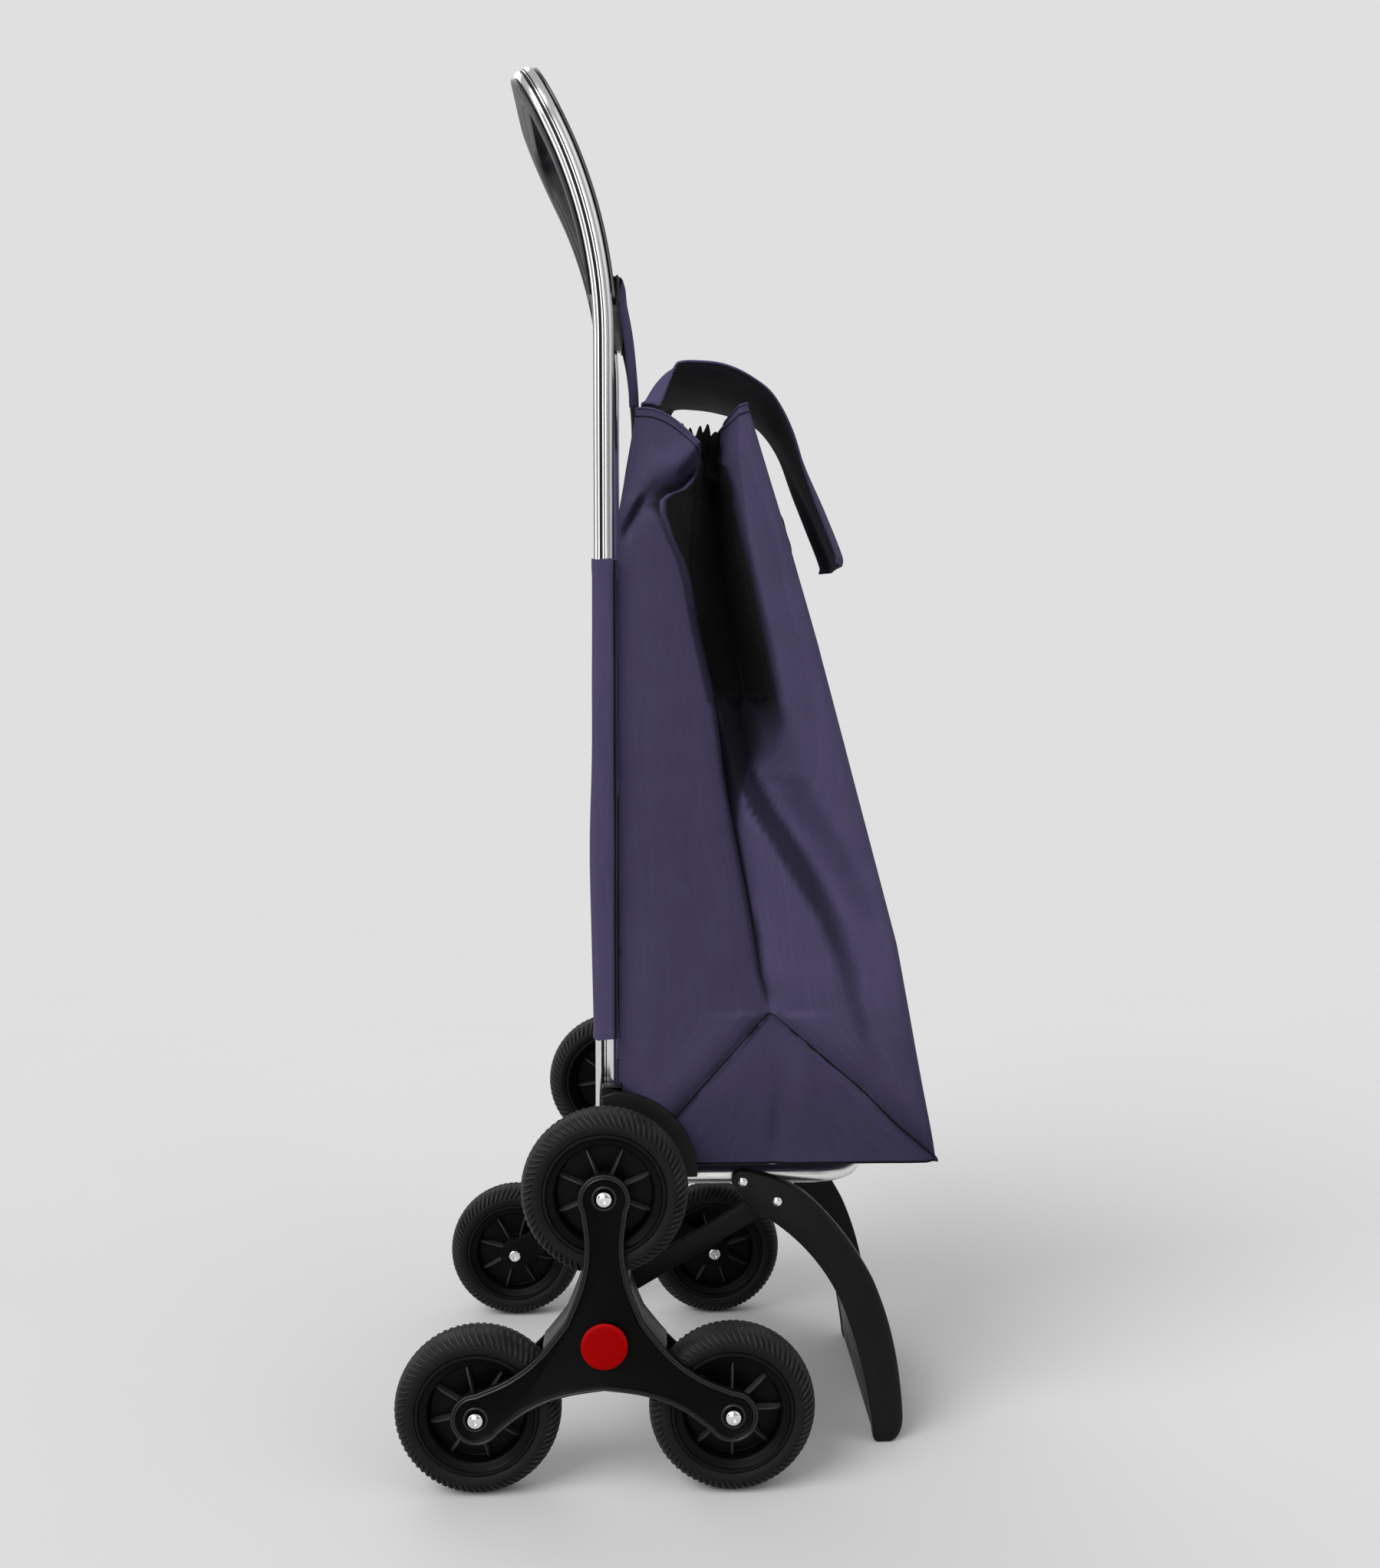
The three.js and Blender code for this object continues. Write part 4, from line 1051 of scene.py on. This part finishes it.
def side_depth(x, z):
    """How far the side lies inwards of its half width, in millimetres."""
    fold = table(z, BACK_FOLD)
    front = table(z, FRONT_LINE)
    depth = -1.6 * crumple(x, z * 0.6, 70, 3.1) - 0.7 * crumple(x, z, 28, 7.7)
    beside = x - fold
    if z > V_Z - 2:
        if beside < 0:
            depth -= 4.5 * math.exp(-((beside + 10) / 16) ** 2) * smoothstep(z, V_Z, 470)
            depth += 3.0 * math.exp(-((x - 30) / 17) ** 2) * smoothstep(z, 380, 460)
        else:
            tuck = table(z, TUCK_DEPTH) * (1 - smoothstep(z, 640, 720))
            spread = mix(7, 16, smoothstep(z, 400, 560))
            depth += tuck * math.exp(-beside / spread) * smoothstep(beside, -0.1, 1.5)
    else:
        front_fold = table(z, FRONT_FOLD)
        if fold < x < front_fold:
            edge = min(x - fold, front_fold - x)
            depth += 1.6 * smoothstep(edge, 0, 5)
            crease = x - mix(143, 150, smoothstep(z, 250, 320))
            depth += 1.8 * math.exp(-(crease / 7) ** 2) * (1 - smoothstep(z, 300, 345))
            depth -= 1.4 * math.exp(-((crease - 16) / 12) ** 2)
        else:
            edge = (fold - x) if x <= fold else (x - front_fold)
            depth += 2.2 * math.exp(-edge / 5)
            depth -= 2.6 * math.exp(-((edge - 22) / 18) ** 2)
    hollow = table(z, HOLLOW_DEPTH)
    if hollow > 0:
        offset = x - table(z, HOLLOW_LINE)
        width = table(z, HOLLOW_RIGHT) if offset > 0 else table(z, HOLLOW_LEFT)
        steep = mix(2.0, 0.9, smoothstep(z, 560, 680))
        share = max(0.0, 1 - abs(offset / width) ** 1.15)
        share = share ** steep if steep < 1.2 else share * share * (3 - 2 * share)
        if z > V_Z - 2 and beside < 0:
            share = 0.0
        depth += hollow * share
    band = front - x
    depth -= 2.4 * math.exp(-((band - 22) / 16) ** 2) * smoothstep(z, 260, 320)
    depth += 7.0 * math.exp(-band / 4.0)
    crease = z - table(x, LOBE_EDGE)
    if beside < 0 and z > 740:
        depth -= 8.0 * math.exp(-((crease - 13) / 13) ** 2) * smoothstep(x, 12, 60)
        depth += 9.0 * math.exp(-((crease + 8) / 9) ** 2) * smoothstep(x, 10, 28)
    return depth


def side_y(x, z):
    return half_width(x, z) - side_depth(x, z)


def painted_fold_shade(x, z):
    """Painted shade: darker on the flanks of the folds that face +X, away from the key light, and darker low
    down, where less light falls.
    """
    slope = (side_depth(x + 3, z) - side_depth(x - 3, z)) / 6
    inner = smoothstep(table(z, FRONT_LINE) - x, 20, 60)
    return 0.66 * inner * smoothstep(slope, 0.02, 0.6) + 0.4 * (1 - smoothstep(z, 250, 430))


def back_x(z):
    return table(z, ((247, 10.5), (790, 10.5), (885, 27.0)))


BACK_COLUMNS = 26
VALLEY_COLUMNS = 26
FRONT_COLUMNS = 26
PANEL_COLUMNS = 18
ROWS = 230


def hem_height(region, t):
    """Height of the top edge: along the back half, over the lining, and along the front half."""
    if region == "back":
        return HEM_BACK_Z - 34 * t ** 2.2
    if region == "valley":
        return mix(847, 874, smoothstep(t, 0.55, 1.0)) - 10 * math.sin(math.pi * min(t / 0.6, 1.0))
    return mix(874, 885, t ** 0.6)


def bag_ring(v):
    """The right-hand half of a ring round the bag, and its darkness, at a share of the way up to the hem. The
    darkness is painted shade, and the black lining at the top of the valley.
    """
    ring = []
    shade = []

    def place(x, y, z, dark=0.0):
        ring.append(Vector((x, -y, z)))
        shade.append(dark)

    def height(region, t):
        return mix(BAG_BOTTOM, hem_height(region, t), v)

    for i in range(PANEL_COLUMNS):
        t = i / PANEL_COLUMNS
        z = height("back", 0)
        y = half_width(back_x(z), z) * t
        bulge = 5.0 * math.sin(math.pi * smoothstep(z, 330, 620)) * (1 - t ** 4)
        place(back_x(z) - bulge + 1.2 * crumple(y, z, 60, 1.5), y, z)
    for i in range(BACK_COLUMNS):
        t = i / BACK_COLUMNS
        z = height("back", t)
        x = mix(back_x(z), table(z, BACK_FOLD), t)
        # Painted shade: a painted shadow under the lobe, at least 0.26 over the whole back half, and the
        # painted fold shade.
        under = table(z, ((740, 70.0), (770, 56.0), (799, 31.0), (820, 40.0)))
        dark = smoothstep(x, under - 5, under + 12) * smoothstep(z, 735, 770)
        dark *= 0.9 * (1 - smoothstep(z - table(x, LOBE_EDGE), -5, 2))
        place(x, side_y(x, z), z, max(dark, 0.26, painted_fold_shade(x, z)))
    for i in range(VALLEY_COLUMNS):
        t = i / VALLEY_COLUMNS
        z = height("valley", t)
        x = mix(table(z, BACK_FOLD), table(z, FRONT_FOLD), t)
        # The black lining at the top of the valley, with painted shade for its deep shade; lower down, painted
        # shade alone.
        upper = smoothstep(z, 570, 650) * smoothstep(t, 0.0, 0.08) * (1 - smoothstep(t, 0.86, 1.0))
        lower = 0.93 * smoothstep(z, 440, 590) * smoothstep(t, 0.0, 0.1) * (1 - smoothstep(t, 0.5, 0.95))
        place(x, side_y(x, z), z, max(upper, lower, painted_fold_shade(x, z)))
    for i in range(FRONT_COLUMNS):
        t = (i / FRONT_COLUMNS) ** 0.9
        z = height("front", t)
        x = mix(table(z, FRONT_FOLD), table(z, FRONT_LINE) - 1.0, t)
        place(x, side_y(x, z), z, painted_fold_shade(x, z))
    for i in range(PANEL_COLUMNS + 1):
        t = i / PANEL_COLUMNS
        z = height("front", 1)
        x = table(z, FRONT_LINE)
        edge = side_y(x - 1.0, z) - 0.5
        y = edge * (1 - t)
        uneven = 1.5 * crumple(y, z, 80, 5.5) * smoothstep(z, 255, 300) * math.sin(math.pi * (1 - t) ** 0.5)
        place(x + uneven - 1.0, y, z)
    return ring, shade


def make_bag():
    """The whole shell as one sheet: both sides, the front and back panels, and the floor."""
    mesh = Mesh()
    rings = []
    shades = []
    for j in range(ROWS + 1):
        half, shade = bag_ring(j / ROWS)
        other = [Vector((p.x, -p.y, p.z)) for p in reversed(half[1:-1])]
        rings.append(half + other)
        shades.append(shade + list(reversed(shade[1:-1])))
    centre = Vector((140, 0, BAG_BOTTOM + 0.4))
    floor = [[centre.lerp(p, share) for p in rings[0]] for share in (0.04, 0.35, 0.7, 0.97)]
    lows = [[0.0] * len(rings[0])] * len(floor)
    mesh.loft(floor + rings, capped=False)
    mesh.faces.append(tuple(range(len(rings[0]))))
    mesh.marks.append(0)
    values = [s for ring in lows + shades for s in ring]
    bag = mesh.piece("bag_shell", "root", "navy_fabric", navy, ["bag_body"], sharp=75,
                     values={"shade": values})
    thick = bag.modifiers.new("cloth_thickness", "SOLIDIFY")
    thick.thickness = 0.0011
    thick.offset = -1
    apply_modifiers(bag)
    return bag


def apply_modifiers(obj):
    bpy.context.view_layer.update()
    evaluated = obj.evaluated_get(bpy.context.evaluated_depsgraph_get())
    old = obj.data
    obj.data = bpy.data.meshes.new_from_object(evaluated)
    obj.modifiers.clear()
    bpy.data.meshes.remove(old)


def surface_line(points, lift, steps=8):
    """A line along the right side of the bag through points of x and z, lifted off the cloth."""
    line = spline([(x, 0, z) for x, z in points], steps)
    return [Vector((p.x, -side_y(p.x, p.z) - lift, p.z)) for p in line]


def mirrored(line):
    return [Vector((p.x, -p.y, p.z)) for p in line]


def make_seams():
    """Taped seams of the V and the welt round the floor."""
    seams = Mesh()
    left_leg = [(table(z, BACK_FOLD), z) for z in (252, 270, 287, 310, 332, 355, 376)]
    right_leg = [(table(z, FRONT_FOLD), z) for z in (251, 265, 279, 295, 311.5, 333, 355, 376)]
    for points in (left_leg, right_leg):
        line = surface_line(points, -0.1, 5)
        tube(seams, line, 0.75, 8)
        tube(seams, mirrored(line), 0.75, 8)
    ring, _ = bag_ring(0.0)
    welt = [p + Vector((0, 0, 0.4)) for p in ring]
    tube(seams, welt, 1.0, 8)
    tube(seams, mirrored(welt), 1.0, 8)
    return seams.piece("bag_seam_tape", "root", "black_fabric", thread)


def make_hem():
    """A turned and stitched edge along the back and front halves of the mouth."""
    hem = Mesh()
    half, _ = bag_ring(1.0)
    start = PANEL_COLUMNS
    back = half[start - 4:start + BACK_COLUMNS + 1]
    front = half[start + BACK_COLUMNS + VALLEY_COLUMNS:]
    for line in (back, front):
        tube(hem, line, 1.0, 8)
        tube(hem, mirrored(line), 1.0, 8)
    return hem.piece("bag_hem", "root", "navy_fabric", navy, values={"shade": [0.0] * len(hem.verts)})


def make_hem_stitches():
    """A row of stitches a little under the hem."""
    stitches = Mesh()
    half, _ = bag_ring(0.9895)
    start = PANEL_COLUMNS
    lifted = [p + Vector((0, -0.3, 0)) for p in half]
    back = lifted[start:start + BACK_COLUMNS + 1]
    front = lifted[start + BACK_COLUMNS + VALLEY_COLUMNS:-PANEL_COLUMNS]
    for line in (back, front):
        tube(stitches, line, 0.45, 6)
        tube(stitches, mirrored(line), 0.45, 6)
    return stitches.piece("bag_hem_stitches", "root", "black_fabric", thread)


# The empty bag flattens against the rails while the platform folds up; here its pieces only get meshes of
# their own.
for soft in (make_bag(), make_seams(), make_hem(), make_hem_stitches()):
    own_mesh(soft)


# ---------------------------------------------------------------- soft pieces on the frame

def make_sleeve(side_name, side):
    """Cloth round a rail: slightly full, hemmed at both ends, with the seam to the bag down its front."""
    mesh = Mesh()
    rings = []
    bottom, top, count = 353.0, 755.0, 60
    for j in range(count + 1):
        t = j / count
        z = mix(bottom, top, t)
        full = 0.5 + 0.5 * math.sin(t * math.pi) + 0.35 * math.sin(t * 19) * math.sin(t * math.pi)
        hemmed = 0.5 if (z < bottom + 9 or z > top - 9) else 0.0
        ring = []
        for k, (y, x) in enumerate(rounded_section(RAIL_WIDTH + 2.6, RAIL_DEPTH + 2.6, 6.5, 6)):
            rear = max(0.0, -x / 9.8)
            push = full + hemmed + rear * 3.2 * math.sin(math.pi * smoothstep(t, 0.0, 0.72))
            deep = x * (1 + push / 14.0)
            across = y * (1 + (full + hemmed) / 20)
            ring.append(Vector((RAIL_X + deep, side * (RAIL_Y + across), z + 0.6 * math.sin(k))))
        rings.append(ring)
    middle = Vector((RAIL_X, side * RAIL_Y, 0))
    inner = []
    for ring in (rings[-1], rings[0]):
        shares = Vector((0.93, 0.95, 1))
        inner.append([middle + (p - middle) * shares for p in ring])
    mesh.loft(rings + inner + [rings[0]], capped=False)
    mesh.piece(f"rail_sleeve_skin_{side_name}", "root", "navy_fabric", navy, [f"rail_sleeve_{side_name}"],
               sharp=60)
    seam = Mesh()
    tube(seam, [Vector((7.6, side * 114.2, mix(bottom + 1, top - 1, i / 30))) for i in range(31)], 0.9, 8)
    seam.piece(f"sleeve_seam_{side_name}", "root", "black_fabric", thread)


def cloth_sheet(name, line, half_at, thickness, body, materials, slot, nodes, wave, columns=36):
    """A sheet hung along a side-view line, with an uneven surface; the second material is its underside."""
    points = spline([(x, 0, z) for x, z in line], 8)
    total = len(points)
    rings = []
    for j, p in enumerate(points):
        along = (points[min(j + 1, total - 1)] - points[max(j - 1, 0)]).normalized()
        normal = Vector((-along.z, 0, along.x))
        ring = []
        for i in range(columns + 1):
            across = mix(-1, 1, i / columns)
            lift, drop = wave(across, j / (total - 1), p.x)
            ring.append(p + normal * lift + Vector((0, across * half_at(p.x), -drop)))
        rings.append(ring)
    mesh = Mesh()
    mesh.loft(rings, closed=False, capped=False)
    obj = mesh.piece(name, body, slot, materials, nodes, sharp=60)
    thick = obj.modifiers.new("cloth_thickness", "SOLIDIFY")
    thick.thickness = thickness * MM
    thick.offset = 0
    thick.material_offset = 1
    apply_modifiers(obj)
    lengths = [(b - a).length for a, b in zip(points, points[1:])]
    area = sum(2 * half_at(p.x) * length for p, length in zip(points, lengths)) * MM * MM
    return obj, sum(lengths) * MM, area


FLAP_LINE = (
    (30, 884), (44, 906), (60, 918), (80, 919), (101, 916), (122, 908), (142, 895), (161, 869),
    (176, 835), (190, 804), (205, 766), (205, 756),
)


def flap_half(x):
    """The flap narrows from its hinge edge to its free end."""
    return mix(103, 60, smoothstep(x, 90, 205))


def flap_wave(across, t, x):
    """How far the flap sags and ripples, and how far its sides hang down beside the mouth."""
    sag = -3.0 * (1 - across * across) * math.sin(math.pi * t)
    ripple = 0.9 * math.sin(3.1 * across + 5 * t) * t + 0.6 * math.sin(9 * t + 2 * across)
    side_fold = 26 * smoothstep(abs(across), 0.84, 1.0) * max(0.0, 1 - abs(x - 45) / 14)
    curl = 8 * smoothstep(abs(across), 0.6, 1.0) * smoothstep(t, 0.5, 0.85)
    return sag + ripple - curl, side_fold


def make_flap():
    flap, length, area = cloth_sheet("bag_flap_skin", FLAP_LINE, flap_half, 2.0, "flap", [navy, underside],
                                     "navy_fabric", ["bag_flap"], flap_wave)


def make_back_loop():
    line = ((27, 885), (26, 908), (22.2, 946), (17.0, 973), (15.4, 986), (12, 991.5), (6, 992.6))

    def wave(across, t, x):
        hem = 6.5 * smoothstep(abs(across), 0.9, 1.0) * (1 - smoothstep(t, 0.55, 0.75))
        return 0.5 * math.sin(5 * across + 3 * t) * math.sin(math.pi * t) + hem, 0

    loop, length, _ = cloth_sheet("back_loop_skin", line, lambda x: 84, 1.6, "root", [navy, lining],
                                  "navy_fabric", ["back_loop"], wave, columns=48)


def make_strap():
    line = ((147, 813), (155.5, 800), (163, 768), (172, 735), (177, 712), (181, 690))

    def wave(across, t, x):
        return 0.8 * math.sin(23 * t) + 0.5 * math.sin(41 * t + across), 0

    strap, length, _ = cloth_sheet("front_strap_skin", line, lambda x: 15, 1.8, "root",
                                   [strap_cloth, strap_cloth], "black_webbing", ["front_strap"], wave,
                                   columns=12)
    return strap


def make_collar():
    """The gathered black edge that draws the mouth together: close folds, with a scalloped top."""
    rings = []
    for j in range(15):
        t = j / 14
        ring = []
        for k in range(240):
            angle = 2 * math.pi * k / 240
            gather = math.sin(angle * 26) + 0.4 * math.sin(angle * 41 + 1.3)
            pinch = 1 - 0.1 * math.sin(math.pi * min(t * 1.4, 1.0))
            x = 74 + (31 * pinch + 1.8 * gather * t) * math.cos(angle)
            y = (86 * pinch + 2.4 * gather * t) * math.sin(angle)
            top = 866 + 3.4 * math.sin(angle * 26 + 0.6) + 2.6 * math.sin(angle * 9)
            ring.append(Vector((x, y, mix(826, top, t))))
        rings.append(ring)
    mesh = Mesh()
    mesh.loft(rings, capped=False)
    collar = mesh.piece("bag_collar_skin", "root", "black_fabric", lining, ["bag_collar"], sharp=70)
    thick = collar.modifiers.new("cloth_thickness", "SOLIDIFY")
    thick.thickness = 0.0014
    apply_modifiers(collar)
    return collar


def make_base_board():
    """The stiff board in the bag's floor, with rounded corners and edges."""
    middle_x, low, high = 148.0, 249.8, 252.5
    rings = []
    for inset, z in ((0.7, low), (0.0, low + 0.7), (0.0, high - 0.7), (0.7, high)):
        outline = rounded_section(240 - 2 * inset, 216 - 2 * inset, 8)
        rings.append([Vector((middle_x + x, y, z)) for x, y in outline])
    mesh = Mesh()
    mesh.loft(rings)
    return mesh.piece("base_board_skin", "root", "black_fabric", lining, ["bag_base_board"])


for side_name, side in SIDES.items():
    make_sleeve(side_name, side)
make_flap()
make_back_loop()
for soft in (make_strap(), make_collar(), make_base_board()):
    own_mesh(soft)


# ---------------------------------------------------------------- small CAD nodes that stay

def dress(kind, material, width):
    """Gives the CAD nodes of that kind, on either side, their finish and soft edges."""
    for name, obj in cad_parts.items():
        if name.removesuffix("_right").removesuffix("_left") != kind:
            continue
        obj.data.materials.clear()
        obj.data.materials.append(material)
        soften = obj.modifiers.new("soft_edges", "BEVEL")
        soften.width = width * MM
        soften.segments = 2
        soften.limit_method = "ANGLE"
        soften.angle_limit = math.radians(40)


for kind, material, width in (
    ("axle_spacer", black_plastic, 0.6),
    ("axle_collar", black_plastic, 0.6),
    ("axle", chrome, 0.5),
    ("lower_crossbar", aluminium, 0.5),
    ("platform_hinge", black_plastic, 0.8),
    ("hinge_pin", chrome, 0.4),
    ("star_bush", black_plastic, 0.4),
    ("crosspiece_screw", chrome, 0.4),
):
    dress(kind, material, width)

# ---------------------------------------------------------------- floor

FLOOR = 30.0
corners = [(-FLOOR, -FLOOR, 0), (FLOOR, -FLOOR, 0), (FLOOR, FLOOR, 0), (-FLOOR, FLOOR, 0)]
floor_mesh = bpy.data.meshes.new("floor")
floor_mesh.from_pydata(corners, [], [(0, 1, 2, 3)])
floor = bpy.data.objects.new("floor", floor_mesh)
scene.collection.objects.link(floor)
floor_finish = Finish("pale_floor", 0.9, specular=0.0)
cloudy = floor_finish.noise(3, 3)
floor_finish.colour(floor_finish.ramp(cloudy, 0.3, 0.7, (0.845, 0.845, 0.845), (0.855, 0.855, 0.855)))
floor_mesh.materials.append(floor_finish.material)
floor.visible_diffuse = False
